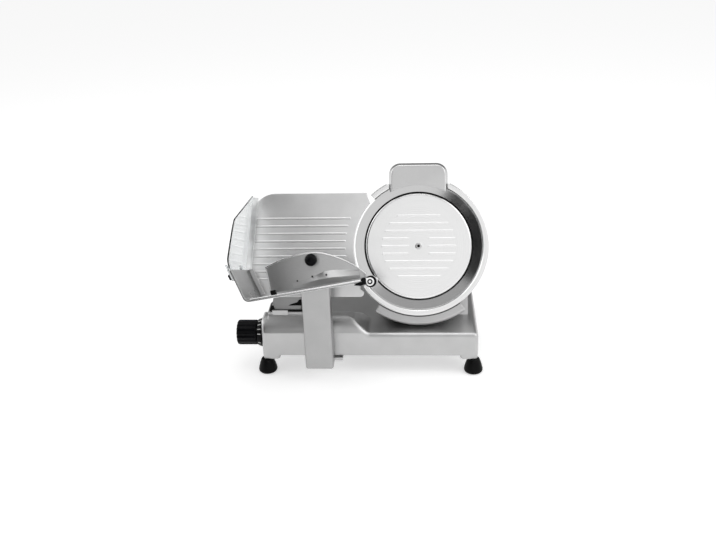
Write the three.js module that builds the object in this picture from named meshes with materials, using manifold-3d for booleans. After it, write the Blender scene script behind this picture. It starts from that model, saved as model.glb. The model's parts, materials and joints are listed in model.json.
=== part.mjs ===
// Gravity-feed food slicer with a 220 mm blade that leans back. Millimetres, +X right, +Y away, +Z up.
import * as THREE from 'three';
import { mergeVertices } from 'three/addons/utils/BufferGeometryUtils.js';
import Module from 'manifold-3d';

const library = await Module();
library.setup();
const rad = THREE.MathUtils.degToRad;

// Driving dimensions
const GAP = 0.3;
const ROUND = 18;
const TILT = rad(25);
const BLADE = { radius: 110, y: 82, z: 210, coverRadius: 92, hub: 16, front: -7.2, back: -11 };
const COVER = { back: -6.6, face: -2, bore: 3.3, screw: 6, ribTop: -1 };
const GUARD = { inner: 111.5, outer: 121, lip: 96, start: rad(-143), end: rad(133), front: 4, back: -15,
  flange: 6, skirt: 4, skirtStart: rad(-50), skirtEnd: rad(62), posts: [55, -15, -75].map(rad), postCircle: 108,
  post: 7 };
const BASE = { left: -275, right: 102.5, front: 8, rear: 262, bottom: 34, deck: 76, wall: 4, corner: 12 };
const BARREL = { rear: 75, y: 38.3, z: 69.6, roll: 31, fall: rad(30), corner: 12, rightTop: -117,
  rightFoot: -87 };
const SEAT = { top: 108, front: 31, rear: 68, side: 6 };
const BELT_WELL = { left: -12, right: 80, front: 92, rear: 155 };
const FOOT = { left: -268, right: 95, front: 14, rear: 248, radius: 16.5, neck: 9, top: 25.7, boss: 31,
  bossTop: 38 };
const BULKHEAD = { radius: 114, left: -62, right: 88, front: -56, back: -64, coverBack: -132, shell: 3 };
const CRADLE = { inner: 122.5, outer: 138, start: rad(236), end: rad(306), front: -4, webInner: 60, web: 6 };
const POST_LUG = { half: 12, low: 86, high: 112, front: -29 };
const DEFLECTOR = { half: 60, front: -27, left: -96, thick: 4 };
const MOTOR = { x: 34, y: -80, radius: 36, bore: 26, back: -122, pulley: 12, hubPulley: 40, shaft: 4 };
const BELT = { back: -36, front: -22, clearance: 0.4, thick: 3, inset: 0.6, rim: 2 };
const SPINDLE = { bore: 4.5, outer: 9.5, flange: 22, flangeBack: -55.7, flangeFront: -50, tip: -8, back: -66 };
const BEARING = { outer: 15, width: 8, rear: -47, front: -21 };
const TIE = { radius: 4, front: -6.9, back: -140, knob: 15, knobBack: -150 };
const END_LUG = { outer: 119, start: rad(212), end: rad(218), back: -6, front: 6, screw: rad(215),
  circle: 115.3 };
const GAUGE = { left: -294, top: 93.5, bottom: -88.4, corner: 45, edge: 112.5, thick: 5, ribs: 9,
  ribTop: 48.9 };
const RIB = { pitch: 13.2, width: 3.6, height: 1.2, gaugeEnd: 127, coverEnd: 65, coverGap: 17 };
const DIAL = { y: 38, z: 64, turn: rad(330), startRadius: 8.5, travel: 12.5, cam: 25, pin: 2.2, knob: 22.2,
  collar: 25.4 };
const CAM = { left: -262, right: -256.3, groove: -260, shaft: 5.7, end: -312 };
const COLLAR = { left: -284, right: -276.2, bore: 6 };
const KNOB = { left: -321, lobes: 16, wave: 0.8 };
const GAUGE_ROD = { x: -245, u: -141, radius: 4, front: 7, back: -76 };
const SUPPORT = { left: -254, right: -206, headRight: -236, thick: 6 };
const SLOT = { left: -258, right: -202, front: 35, rear: 63 };
const SWITCH = { x: -20, z: 56, spread: 15, button: 8, depth: 3.5, travel: 3, halfWidth: 32, halfHeight: 15 };
const GLAND = { x: 60, z: 55, radius: 10, bore: 4, length: 10 };
const CIRCUIT = { left: -168, right: -92, front: 152, rear: 218, low: 48, thick: 2, part: 16 };
const ROD = { y: 40, z: 50, radius: 8, left: -228.5, right: 89.5, boss: 12 };
const CARRIAGE = { left: -200, right: -140, front: 20, rear: 54, low: 38, top: 62, bush: 11, footRight: -133,
  footTop: 32.5, footBottom: 27 };
const GLIDE = { x: -170, z: 50.3, radius: 6, axle: 2.5, front: 12.8, rear: 28 };
const ARM = { left: -195, right: -147, front: -28, back: 2, bottom: 28, corner: 4 };
const LOCK = { x: -171, z: 128, radius: 13, stem: 3, rear: 20 };
const TRAY = { x: -178, u: -72.6, tilt: rad(9.7), back: 10, front: 162, thick: 3, left: -95, right: 90,
  corner: 7, wallX: -110, wallY: 52 };
const STOP = { left: -55, right: -46, top: 9, depth: 12 };
const SHIELD = { x: -299, lean: rad(-5.9), thick: 3, low: -38.5, tab: 20, tabs: [40, 138], tabWidth: 22,
  edge: 9, back: 12, high: 124 };
const HOLDER = { thick: 7, wall: 2 };
const PUSHER = { x: 102, y: -4, rod: 4, sleeve: 6.5, hub: 9.3, plate: 118, thick: 3 };
const SLEEVE = { back: 98, front: 138, collar: 9.3, collarWidth: 3 };
const PUSH_KNOB = { x: 14.3, y: 46, radius: 10, stem: 3 };
const SHARPENER = { half: 51, top: 144, low: 100, corner: 19, front: 7, back: -11.5, wall: 3, post: -38,
  stoneX: 24, stoneU: 126, stone: 12, stem: 3, postRadius: 6, lockU: 127 };

// Finishes
const finish = (color, roughness, metalness) => ({ color, roughness, metalness });
const CAST = finish(0xb9bab8, 0.42, 0.85);
const POLISHED = finish(0xd4d5d4, 0.2, 1);
const STEEL = finish(0xc4c6c8, 0.3, 1);
const BLACK = finish(0x141415, 0.45, 0);
const RUBBER = finish(0x101010, 0.8, 0);
const CLEAR = finish(0xe4e8e8, 0.12, 0);
const GREEN = finish(0x1f7a3a, 0.4, 0);
const RED = finish(0xa8241f, 0.4, 0);
const STONE = finish(0xb58f78, 0.9, 0);
const COPPER = finish(0x7c5a42, 0.5, 0.6);
const BOARD = finish(0x2c5b3a, 0.6, 0);

// Solid helpers: every geometry becomes a closed body whose faces point out
function toSolid(geometry) {
  const bare = geometry.clone();
  for (const name of Object.keys(bare.attributes)) {
    if (name !== 'position') bare.deleteAttribute(name);
  }
  const merged = mergeVertices(bare, 1e-4);
  const corners = [];
  const index = merged.index.array;
  for (let i = 0; i < index.length; i += 3) {
    const [a, b, c] = index.slice(i, i + 3);
    if (a !== b && b !== c && c !== a) corners.push(a, b, c);
  }
  const build = (triVerts) => new library.Manifold(new library.Mesh({
    numProp: 3,
    vertProperties: new Float32Array(merged.attributes.position.array),
    triVerts: new Uint32Array(triVerts),
  }));
  const solid = build(corners);
  if (solid.volume() >= 0) return solid;
  return build(corners.reverse());
}

function toGeometry(solid) {
  const mesh = solid.getMesh();
  const geometry = new THREE.BufferGeometry();
  const points = new THREE.BufferAttribute(new Float32Array(mesh.vertProperties), mesh.numProp);
  geometry.setAttribute('position', points);
  geometry.setIndex(new THREE.BufferAttribute(new Uint32Array(mesh.triVerts), 1));
  const flat = geometry.toNonIndexed();
  flat.computeVertexNormals();
  return flat;
}

const join = (...pieces) => toGeometry(pieces.map(toSolid).reduce((a, b) => a.add(b)));
const cut = (piece, ...tools) => toGeometry(tools.map(toSolid).reduce((a, b) => a.subtract(b), toSolid(piece)));
const common = (piece, tool) => toGeometry(toSolid(piece).intersect(toSolid(tool)));

// Shape helpers, drawn in XY and raised along Z
const slab = (shape, from, to, curveSegments = 4) => new THREE.ExtrudeGeometry(shape, {
  depth: to - from, bevelEnabled: false, curveSegments,
}).translate(0, 0, from);

const outline = (points) => new THREE.Shape(points.map(([x, y]) => new THREE.Vector2(x, y)));

function rounded(x0, y0, x1, y1, r) {
  const shape = new THREE.Shape();
  shape.absarc(x1 - r, y0 + r, r, -Math.PI / 2, 0, false);
  shape.absarc(x1 - r, y1 - r, r, 0, Math.PI / 2, false);
  shape.absarc(x0 + r, y1 - r, r, Math.PI / 2, Math.PI, false);
  shape.absarc(x0 + r, y0 + r, r, Math.PI, Math.PI * 1.5, false);
  return shape;
}

function band(inner, outer, start, end) {
  const shape = new THREE.Shape();
  shape.absarc(0, 0, outer, start, end, false);
  shape.absarc(0, 0, inner, end, start, true);
  return shape;
}

const block = (x0, x1, y0, y1, z0, z1) => new THREE.BoxGeometry(x1 - x0, y1 - y0, z1 - z0)
  .translate((x0 + x1) / 2, (y0 + y1) / 2, (z0 + z1) / 2);

const pin = (radius, from, to, x = 0, y = 0, sides = ROUND) => new THREE
  .CylinderGeometry(radius, radius, to - from, sides)
  .rotateX(Math.PI / 2)
  .translate(x, y, (from + to) / 2);

const turned = (profile, sides = ROUND) => new THREE
  .LatheGeometry([...profile, profile[0]].map(([r, z]) => new THREE.Vector2(r, z)), sides)
  .rotateX(Math.PI / 2);

const ring = (inner, outer, from, to, sides = ROUND) => turned(
  [[inner, from], [outer, from], [outer, to], [inner, to]], sides);

// Turn a piece drawn along Z so that it lies along X, Y or the tray's width
const alongX = (geometry) => geometry.applyMatrix4(new THREE.Matrix4().makeBasis(
  new THREE.Vector3(0, 1, 0), new THREE.Vector3(0, 0, 1), new THREE.Vector3(1, 0, 0)));
const alongY = (geometry) => geometry.rotateX(Math.PI / 2);
const acrossTray = (geometry) => geometry.rotateY(-Math.PI / 2);

// Frames: the upright machine, the leaning blade frame (x right, y up the plate, z to the operator), the tray
const slicer = new THREE.Group();
const leaning = new THREE.Group();
leaning.position.set(0, BLADE.y, BLADE.z);
leaning.rotation.x = Math.PI / 2 - TILT;
const tray = new THREE.Group();
tray.position.set(TRAY.x, TRAY.u, 0);
tray.rotation.z = TRAY.tilt;
leaning.add(tray);
slicer.add(leaning);
slicer.updateMatrixWorld(true);
const toUpright = (geometry, frame) => geometry.applyMatrix4(frame.matrixWorld);
const fromUpright = (geometry, frame) => geometry.applyMatrix4(frame.matrixWorld.clone().invert());

function add(frame, name, geometry, look) {
  const mesh = new THREE.Mesh(toGeometry(toSolid(geometry)), new THREE.MeshStandardMaterial(look));
  mesh.name = name;
  frame.add(mesh);
}

// Outline of the bulkhead behind the blade and of the motor cover, pulled in by an inset
function bulkhead(from, to, inset) {
  const { radius, left, right } = BULKHEAD;
  const rightOfCut = block(left + inset, radius, -radius, radius, from, to);
  const disc = common(pin(radius - inset, from, to, 0, 0, 48), rightOfCut);
  return join(disc, block(left + inset, right - inset, -180, 0, from, to));
}

// Base casting: low body, barrel over the gauge slide, bulkhead and cradle for the blade
function barrel(inset) {
  const { front, left, bottom, deck } = BASE;
  const { rear, y, z, roll, fall, corner, rightTop, rightFoot } = BARREL;
  const radius = roll - inset;
  const back = rear - inset;
  const crest = [y + radius * Math.sin(fall), z + radius * Math.cos(fall)];
  const side = new THREE.Shape();
  side.moveTo(back, bottom);
  side.lineTo(back, crest[1] - (back - crest[0]) * Math.tan(fall));
  side.absarc(y, z, radius, Math.PI / 2 - fall, Math.acos((front + inset - y) / radius), false);
  side.lineTo(front + inset, bottom);
  const face = new THREE.Shape();
  face.moveTo(left + inset, bottom);
  face.lineTo(rightFoot - inset, bottom);
  face.lineTo(rightFoot - inset, deck - inset);
  face.lineTo(rightTop - inset, z + radius);
  face.absarc(left + inset + corner, z + radius - corner, corner, Math.PI / 2, Math.PI, false);
  return common(alongX(slab(side, left, 0)), alongY(slab(face, -rear, -front)));
}

// Flat seat on the barrel for the gauge slot's seal
function sealSeat() {
  const { top, front, rear, side } = SEAT;
  const profile = outline([[front, 97], [54, 92.5], [rear, 84.5], [rear, top], [front, top]]);
  return alongX(slab(profile, SLOT.left - side, SLOT.right + side));
}

function footBoss(x, y, height) {
  const x0 = x < 0 ? BASE.left : BASE.right - FOOT.boss;
  const y0 = y < BASE.rear / 2 ? BASE.front : BASE.rear - FOOT.boss;
  return slab(rounded(x0, y0, x0 + FOOT.boss, y0 + FOOT.boss, BASE.corner - 2), FOOT.top + GAP, height);
}

const feet = [FOOT.left, FOOT.right].flatMap((x) => [FOOT.front, FOOT.rear].map((y) => [x, y]));

function baseCasting() {
  const { left, right, front, rear, bottom, deck, wall, corner } = BASE;
  const root = BULKHEAD.front - 1;
  const body = slab(rounded(left, front, right, rear, corner), bottom, deck);
  const plate = bulkhead(BULKHEAD.back, BULKHEAD.front, 0);
  const sector = (inner, to) => slab(band(inner, CRADLE.outer, CRADLE.start, CRADLE.end), root, to, 14);
  const web = common(sector(CRADLE.webInner, BULKHEAD.front + CRADLE.web),
    block(BULKHEAD.left, BULKHEAD.right, -150, 0, -80, 0));
  const posts = GUARD.posts.map((a) => pin(GUARD.post, root, GUARD.back - GUARD.flange - GAP,
    GUARD.postCircle * Math.cos(a), GUARD.postCircle * Math.sin(a)));
  const lug = block(-POST_LUG.half, POST_LUG.half, POST_LUG.low, POST_LUG.high, root - 1, POST_LUG.front);
  const leaningParts = [plate, sector(CRADLE.inner, CRADLE.front), web, lug, ...posts];
  const upper = join(body, barrel(0), sealSeat(), ...leaningParts.map((g) => toUpright(g, leaning)));
  const room = slab(rounded(left + wall, front + wall, right - wall, rear - wall, corner - wall), bottom - 60,
    deck - wall);
  const shell = cut(upper, join(room, barrel(wall)));
  const rodRib = block(ROD.left - 5.5, ROD.left + 2.5, front + 1, 66, 42, 66);
  const rodBoss = alongX(pin(ROD.boss, ROD.right - 5.5, right - 1, ROD.y, ROD.z));
  const guideStep = block(ROD.left - 1.5, right - 1, front + 1, 18, 40, GLIDE.z - GLIDE.radius - GAP);
  const frontLug = toUpright(pin(8, 2, 7.5, GAUGE_ROD.x, GAUGE_ROD.u, 20), leaning);
  const rearLugBlock = block(GAUGE_ROD.x - 9, GAUGE_ROD.x + 9, -150, -115, GAUGE_ROD.back - 1, -68);
  const rearLug = toUpright(rearLugBlock, leaning);
  const bosses = feet.map(([x, y]) => footBoss(x, y, FOOT.bossTop));
  const full = join(shell, rodRib, rodBoss, guideStep, frontLug, rearLug, ...bosses);
  const through = (radius, x = 0, y = 0) => toUpright(pin(radius, -80, -40, x, y), leaning);
  const gaugeRodBore = pin(GAUGE_ROD.radius + GAP, GAUGE_ROD.back - 2, GAUGE_ROD.front + GAP, GAUGE_ROD.x,
    GAUGE_ROD.u);
  const buttonBore = (side) => alongY(pin(SWITCH.button + 1, -rear - 1, -rear + 10,
    SWITCH.x + side * SWITCH.spread, SWITCH.z));
  return cut(full,
    alongX(pin(ROD.radius + GAP, ROD.left - GAP, ROD.right + GAP, ROD.y, ROD.z)),
    alongX(pin(CAM.shaft + 2 * GAP, left - 1, left + wall + 1, DIAL.y, DIAL.z)),
    block(SLOT.left, SLOT.right, SLOT.front, SLOT.rear, deck + 10, SEAT.top + 1),
    block(SLOT.left, SLOT.right, SLOT.front - 1.5, SLOT.front + 1, deck + 10, SEAT.top - 10),
    block(BELT_WELL.left, BELT_WELL.right, BELT_WELL.front, BELT_WELL.rear, deck - wall - 1, deck + 1),
    toUpright(gaugeRodBore, leaning),
    through(SPINDLE.outer + GAP),
    through(BEARING.outer, MOTOR.x, MOTOR.y),
    toUpright(alongY(pin(SHARPENER.postRadius + GAP, -120, -88, 0, SHARPENER.post)), leaning),
    buttonBore(-1),
    buttonBore(1),
    alongY(pin(GLAND.bore + 2, -rear - 1, -rear + 10, GLAND.x, GLAND.z)));
}

add(slicer, 'base_casting', baseCasting(), CAST);
const inset = BASE.wall + GAP;
const floorPlate = slab(rounded(BASE.left + inset, 64, BASE.right - inset, BASE.rear - inset, BASE.corner),
  FOOT.bossTop + GAP, FOOT.bossTop + 2 + GAP);
add(slicer, 'bottom_cover', floorPlate, STEEL);
feet.forEach(([x, y], i) => {
  const { radius, neck, top } = FOOT;
  const bell = turned([[0, 0], [radius - 1, 0], [radius, 4], [radius - 1.5, 9], [neck + 2.5, 18], [neck, top],
    [0, top]], 20);
  add(slicer, `foot_${i + 1}`, bell.translate(x, y, 0), RUBBER);
});

// Blade, its hub on two bearings, and the cover held by a tie rod through the spindle
const bladeProfile = [[BLADE.hub, BLADE.back], [94, BLADE.back], [98, -9.2], [106, -4.5], [BLADE.radius, -0.7],
  [BLADE.radius - 0.8, -0.2], [94.2, -5], [93.6, BLADE.front], [BLADE.hub, BLADE.front]];
add(leaning, 'blade', turned(bladeProfile, 48), STEEL);
const hubBore = BEARING.outer + GAP;
const hubRim = MOTOR.hubPulley + BELT.rim;
const hubProfile = [[hubBore, -48], [22, -48], [22, BELT.back - BELT.rim], [hubRim, BELT.back - BELT.rim],
  [hubRim, BELT.back], [MOTOR.hubPulley, BELT.back], [MOTOR.hubPulley, BELT.front], [hubRim, BELT.front],
  [hubRim, BELT.front + BELT.rim], [30, -16], [30, BLADE.back - GAP], [hubBore, BLADE.back - GAP]];
add(leaning, 'hub_pulley', turned(hubProfile), CAST);
const spindleProfile = [[SPINDLE.bore, SPINDLE.back], [SPINDLE.outer, SPINDLE.back],
  [SPINDLE.outer, SPINDLE.flangeBack], [SPINDLE.flange, SPINDLE.flangeBack],
  [SPINDLE.flange, SPINDLE.flangeFront], [SPINDLE.outer, SPINDLE.flangeFront],
  [SPINDLE.outer, SPINDLE.tip], [SPINDLE.bore, SPINDLE.tip]];
add(leaning, 'spindle', turned(spindleProfile), STEEL);
[['bearing_rear', BEARING.rear], ['bearing_front', BEARING.front]].forEach(([name, from]) => {
  add(leaning, name, ring(SPINDLE.outer + GAP, BEARING.outer, from, from + BEARING.width), STEEL);
});

function coverRibs() {
  const count = GAUGE.ribs;
  const bars = [];
  for (let i = 0; i < count; i += 1) {
    const y = (i - (count - 1) / 2) * RIB.pitch;
    const reach = Math.sqrt(RIB.coverEnd ** 2 - y ** 2);
    const bar = (x0, x1) => block(x0, x1, y - RIB.width / 2, y + RIB.width / 2, COVER.face - 1, COVER.ribTop);
    if (Math.abs(y) > RIB.coverGap) bars.push(bar(-reach, reach));
    else bars.push(bar(-reach, -RIB.coverGap), bar(RIB.coverGap, reach));
  }
  return bars;
}

const coverEdge = BLADE.coverRadius;
const coverProfile = [[COVER.bore, COVER.back], [coverEdge - 1, COVER.back], [coverEdge, -5],
  [coverEdge - 1.5, -2.4], [coverEdge - 4, COVER.face], [COVER.bore, COVER.face]];
add(leaning, 'blade_cover', join(turned(coverProfile, 48), ...coverRibs()), POLISHED);
add(leaning, 'cover_screw', join(pin(COVER.screw, COVER.face + GAP, 0.6, 0, 0, 24),
  pin(COVER.bore - GAP, COVER.back + 0.1, -1, 0, 0)), STEEL);
add(leaning, 'cover_tie_rod', pin(TIE.radius, TIE.back, TIE.front), STEEL);
const knobFront = BULKHEAD.coverBack - GAP;
const tieKnob = turned([[TIE.radius + GAP, knobFront], [8, knobFront], [TIE.knob, -138],
  [TIE.knob, TIE.knobBack + 3], [TIE.knob - 3, TIE.knobBack], [0, TIE.knobBack], [0, TIE.back - GAP],
  [TIE.radius + GAP, TIE.back - GAP]]);
add(leaning, 'cover_tie_knob', tieKnob, BLACK);

// Ring guard: a channel around the blade, open at the left for the cut and at the top for the stones
const guardScrew = [END_LUG.circle * Math.cos(END_LUG.screw), END_LUG.circle * Math.sin(END_LUG.screw)];
function ringGuard() {
  const { inner, outer, lip, start, end, front, back, flange } = GUARD;
  const wall = slab(band(inner, outer, start, end), back - 0.5, front, 28);
  const rear = slab(band(lip, outer, start, end), back - flange, back, 28);
  const lug = slab(band(inner, END_LUG.outer, END_LUG.start, END_LUG.end), END_LUG.back, END_LUG.front, 6);
  const skirt = slab(band(outer - GUARD.skirt, outer, GUARD.skirtStart, GUARD.skirtEnd), BULKHEAD.front + GAP,
    back - flange + 1, 10);
  const window = block(-SHARPENER.half - 1.5, SHARPENER.half + 1.5, 85, 130, back + 3, front + 2);
  return cut(join(wall, rear, skirt, lug), window, pin(2 + GAP, -1, 8, ...guardScrew, 16));
}
add(leaning, 'ring_guard', ringGuard(), POLISHED);
add(leaning, 'guard_end_screw', join(pin(3.2, END_LUG.front + GAP, 7.6, ...guardScrew, 16),
  pin(2, 0, 7, ...guardScrew, 16)), STEEL);

// Motor behind the bulkhead, belt to the hub, and the rear cover
function beltLoop(extra) {
  const far = Math.hypot(MOTOR.x, MOTOR.y);
  const toMotor = Math.atan2(MOTOR.y, MOTOR.x);
  const lean = Math.acos((MOTOR.hubPulley - MOTOR.pulley) / far);
  const shape = new THREE.Shape();
  shape.absarc(0, 0, MOTOR.hubPulley + extra, toMotor + lean, toMotor - lean + Math.PI * 2, false);
  shape.absarc(MOTOR.x, MOTOR.y, MOTOR.pulley + extra, toMotor - lean, toMotor + lean, false);
  return shape;
}
const beltSpan = [BELT.back + BELT.inset, BELT.front - BELT.inset];
add(leaning, 'drive_belt', cut(slab(beltLoop(BELT.clearance + BELT.thick), ...beltSpan, 14),
  slab(beltLoop(BELT.clearance), beltSpan[0] - 1, beltSpan[1] + 1, 14)), RUBBER);
const motorPlace = (geometry) => geometry.translate(MOTOR.x, MOTOR.y, 0);
const pulleyRim = MOTOR.pulley + 3.5;
const pulleyBore = MOTOR.shaft + GAP;
const pulleyProfile = [[pulleyBore, -39], [pulleyRim, -39], [pulleyRim, BELT.back], [MOTOR.pulley, BELT.back],
  [MOTOR.pulley, BELT.front], [pulleyRim, BELT.front], [pulleyRim, -21.5], [pulleyBore, -21.5]];
add(leaning, 'motor_pulley', motorPlace(turned(pulleyProfile)), STEEL);
const statorFront = BULKHEAD.back - GAP;
add(leaning, 'motor_stator', motorPlace(ring(MOTOR.bore, MOTOR.radius, MOTOR.back, statorFront)), COPPER);
const rotor = MOTOR.bore - 1;
const rotorProfile = [[0, -127], [MOTOR.shaft, -127], [MOTOR.shaft, -118], [rotor, -118], [rotor, -70],
  [MOTOR.shaft, -70], [MOTOR.shaft, -23], [0, -23]];
add(leaning, 'motor_rotor', motorPlace(turned(rotorProfile)), STEEL);

function motorCover() {
  const { back, coverBack, shell } = BULKHEAD;
  const skin = cut(bulkhead(coverBack, back - GAP, 0), bulkhead(coverBack + shell, back + 2, shell));
  const vents = [-2, -1, 0, 1, 2].map((i) => block(20 + i * 11, 26 + i * 11, -70, -30, coverBack - 1,
    coverBack + shell + 1));
  const below = fromUpright(block(-400, 400, -400, 600, -400, BASE.deck + GAP), leaning);
  return cut(skin, ...vents, below, pin(TIE.radius + GAP, coverBack - 1, coverBack + shell + 1));
}
add(leaning, 'motor_cover', motorCover(), CAST);
const wallSide = BULKHEAD.left - GAP;
const deflector = outline([[wallSide, -62], [wallSide, -57], [DEFLECTOR.left + 2, DEFLECTOR.front],
  [DEFLECTOR.left, DEFLECTOR.front - 2], [wallSide - DEFLECTOR.thick, -62]]);
add(leaning, 'slice_deflector', alongY(slab(deflector, -DEFLECTOR.half, DEFLECTOR.half)), STEEL);

// Switch and gland at the rear, control board inside
const switchBack = -BASE.rear - GAP;
const switchFace = switchBack - SWITCH.depth;
const switchSpots = [['on_button', -1, GREEN], ['off_button', 1, RED]];
const switchPlate = alongY(slab(rounded(SWITCH.x - SWITCH.halfWidth, SWITCH.z - SWITCH.halfHeight,
  SWITCH.x + SWITCH.halfWidth, SWITCH.z + SWITCH.halfHeight, 5), switchFace, switchBack));
const buttonHole = (side) => alongY(pin(SWITCH.button + GAP, switchFace - 1, switchBack + 1,
  SWITCH.x + side * SWITCH.spread, SWITCH.z));
add(slicer, 'switch_plate', cut(switchPlate, buttonHole(-1), buttonHole(1)), BLACK);
switchSpots.forEach(([name, side, look]) => {
  const cap = pin(SWITCH.button, switchFace - SWITCH.travel - 0.5, switchBack + BASE.wall,
    SWITCH.x + side * SWITCH.spread, SWITCH.z, 24);
  add(slicer, name, alongY(cap), look);
});
const gland = ring(GLAND.bore, GLAND.radius, -BASE.rear - GLAND.length, -BASE.rear - GAP, 24)
  .translate(GLAND.x, GLAND.z, 0);
add(slicer, 'cable_gland', alongY(gland), BLACK);
const circuitTop = CIRCUIT.low + CIRCUIT.thick;
const boardLegs = [CIRCUIT.left + 8, CIRCUIT.right - 8].flatMap((x) => [CIRCUIT.front + 8, CIRCUIT.rear - 8]
  .map((y) => pin(3, FOOT.bossTop + 2 + 2 * GAP, circuitTop - 1, x, y, 12)));
const circuit = block(CIRCUIT.left, CIRCUIT.right, CIRCUIT.front, CIRCUIT.rear, CIRCUIT.low, circuitTop);
const capacitor = block(-150, -120, 170, 200, circuitTop - 1, circuitTop + CIRCUIT.part);
add(slicer, 'control_board', join(circuit, capacitor, ...boardLegs), BOARD);

// Thickness dial with a spiral cam, and the gauge plate that it moves straight back from the blade plane
const dialPlace = (geometry) => alongX(geometry.translate(DIAL.y, DIAL.z, 0));
function camGroove() {
  const steps = 24;
  const radius = (k) => DIAL.startRadius + DIAL.travel * k;
  const width = DIAL.pin + GAP;
  const spot = (k, shift) => {
    const a = -TILT - DIAL.turn * k;
    return [(radius(k) + shift) * Math.cos(a), (radius(k) + shift) * Math.sin(a)];
  };
  const along = Array.from({ length: steps + 1 }, (_, i) => i / steps);
  const path = outline([...along.map((k) => spot(k, width)), ...along.reverse().map((k) => spot(k, -width))]);
  const ends = [0, 1].map((k) => pin(width, CAM.groove, CAM.right + 1, ...spot(k, 0)));
  return join(slab(path, CAM.groove, CAM.right + 1), ...ends);
}
const shaftProfile = [[0, CAM.end], [CAM.shaft, CAM.end], [CAM.shaft, CAM.left - 1], [DIAL.cam, CAM.left - 1],
  [DIAL.cam, CAM.right], [0, CAM.right]];
add(slicer, 'dial_shaft_cam', dialPlace(cut(turned(shaftProfile, 30), camGroove())), STEEL);
const collarProfile = [[COLLAR.bore, COLLAR.left], [DIAL.collar - 2.4, COLLAR.left],
  [DIAL.collar, COLLAR.right - 2], [DIAL.collar, COLLAR.right], [COLLAR.bore, COLLAR.right]];
add(slicer, 'dial_collar', dialPlace(turned(collarProfile)), BLACK);
function knobOutline() {
  const { lobes, wave } = KNOB;
  const points = Array.from({ length: lobes * 4 }, (_, i) => {
    const a = (i / (lobes * 4)) * Math.PI * 2;
    const r = DIAL.knob - wave + wave * Math.cos(a * lobes);
    return [r * Math.cos(a), r * Math.sin(a)];
  });
  return outline(points);
}
const knobBore = pin(COLLAR.bore, CAM.end - GAP, COLLAR.left + 1);
add(slicer, 'dial_knob', dialPlace(cut(slab(knobOutline(), KNOB.left, COLLAR.left - GAP), knobBore)), BLACK);

function gaugePlate() {
  const { left, top, bottom, corner, edge, thick, ribs, ribTop } = GAUGE;
  const shape = new THREE.Shape();
  shape.moveTo(left, bottom + 10);
  shape.absarc(left + 10, bottom + 10, 10, Math.PI, Math.PI * 1.5, false);
  shape.absarc(-102, bottom + 7, 7, -Math.PI / 2, 0, false);
  shape.lineTo(-95, -79);
  shape.lineTo(-101, -75);
  shape.lineTo(-101, -58);
  shape.absarc(0, 0, edge, rad(209), rad(138), true);
  shape.lineTo(-87.5, 84);
  shape.lineTo(-89, top);
  shape.absarc(left + corner, top - corner, corner, Math.PI / 2, Math.PI, false);
  const plate = slab(shape, -thick, 0, 12);
  const bars = Array.from({ length: ribs }, (_, i) => {
    const y = ribTop - i * RIB.pitch;
    const reach = Math.sqrt(RIB.gaugeEnd ** 2 - y ** 2);
    return block(left + 5, -reach, y - RIB.width / 2, y + RIB.width / 2, -1, RIB.height);
  });
  return join(plate, ...bars);
}
add(leaning, 'gauge_plate', gaugePlate(), CAST);

const followerPlace = [0, DIAL.y + DIAL.startRadius * Math.cos(TILT),
  DIAL.z - DIAL.startRadius * Math.sin(TILT)];
const follower = new THREE.Vector3(...followerPlace).applyMatrix4(leaning.matrixWorld.clone().invert());
function gaugeSupport() {
  const { left, right, headRight, thick } = SUPPORT;
  const back = -GAUGE.thick - GAP;
  const webSide = outline([[left, -60], [right, -60], [right, -124], [headRight, -144], [left, -144]]);
  const web = slab(webSide, back - thick, back);
  const head = block(left, headRight, -160, -134, -40, back);
  const rodHole = pin(GAUGE_ROD.radius + GAP, -60, 0, GAUGE_ROD.x, GAUGE_ROD.u);
  const pinHole = alongX(pin(DIAL.pin + GAP, left - 1, left + 4.5, follower.y, follower.z));
  return cut(join(web, head), rodHole, pinHole);
}
add(leaning, 'gauge_support', gaugeSupport(), CAST);
const followerPin = pin(DIAL.pin, CAM.groove + 0.5, SUPPORT.left + 4, follower.y, follower.z);
add(leaning, 'follower_pin', alongX(followerPin), STEEL);
const gaugeRod = pin(GAUGE_ROD.radius, GAUGE_ROD.back, GAUGE_ROD.front, GAUGE_ROD.x, GAUGE_ROD.u);
add(leaning, 'gauge_rod', gaugeRod, STEEL);
const sealEdge = rounded(SLOT.left - 5, SLOT.front - 3, SLOT.right + 5, SLOT.rear + 4, 3);
const sealBlank = slab(sealEdge, SEAT.top + GAP, SEAT.top + 3);
const sealHole = block(SLOT.left, SLOT.right, SLOT.front, SLOT.rear, SEAT.top - 1, SEAT.top + 5);
add(slicer, 'gauge_seal', cut(sealBlank, sealHole), RUBBER);

// Carriage: block on a rod under the base, arm in front, tray with a rising floor
add(slicer, 'carriage_rod', alongX(pin(ROD.radius, ROD.left, ROD.right, ROD.y, ROD.z)), STEEL);
function carriageBlock() {
  const { left, right, front, rear, low, top, bush, footRight, footTop, footBottom } = CARRIAGE;
  const body = block(left, right, front, rear, low, top);
  const web = block(ARM.left, ARM.right, 28, rear - 2, footTop - 1, low + 2);
  const foot = block(ARM.left - 1, footRight, ARM.back + GAP, rear - 2, footBottom, footTop);
  const bore = alongX(pin(bush + GAP, left - 1, right + 1, ROD.y, ROD.z));
  const axleHole = alongY(pin(GLIDE.axle + GAP, -GLIDE.rear - GAP, -front + 1, GLIDE.x, GLIDE.z, 16));
  return cut(join(body, web, foot), bore, axleHole);
}
add(slicer, 'carriage_block', carriageBlock(), CAST);
const bush = ring(ROD.radius + GAP, CARRIAGE.bush, CARRIAGE.left, CARRIAGE.right).translate(ROD.y, ROD.z, 0);
add(slicer, 'carriage_bush', alongX(bush), COPPER);
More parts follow.
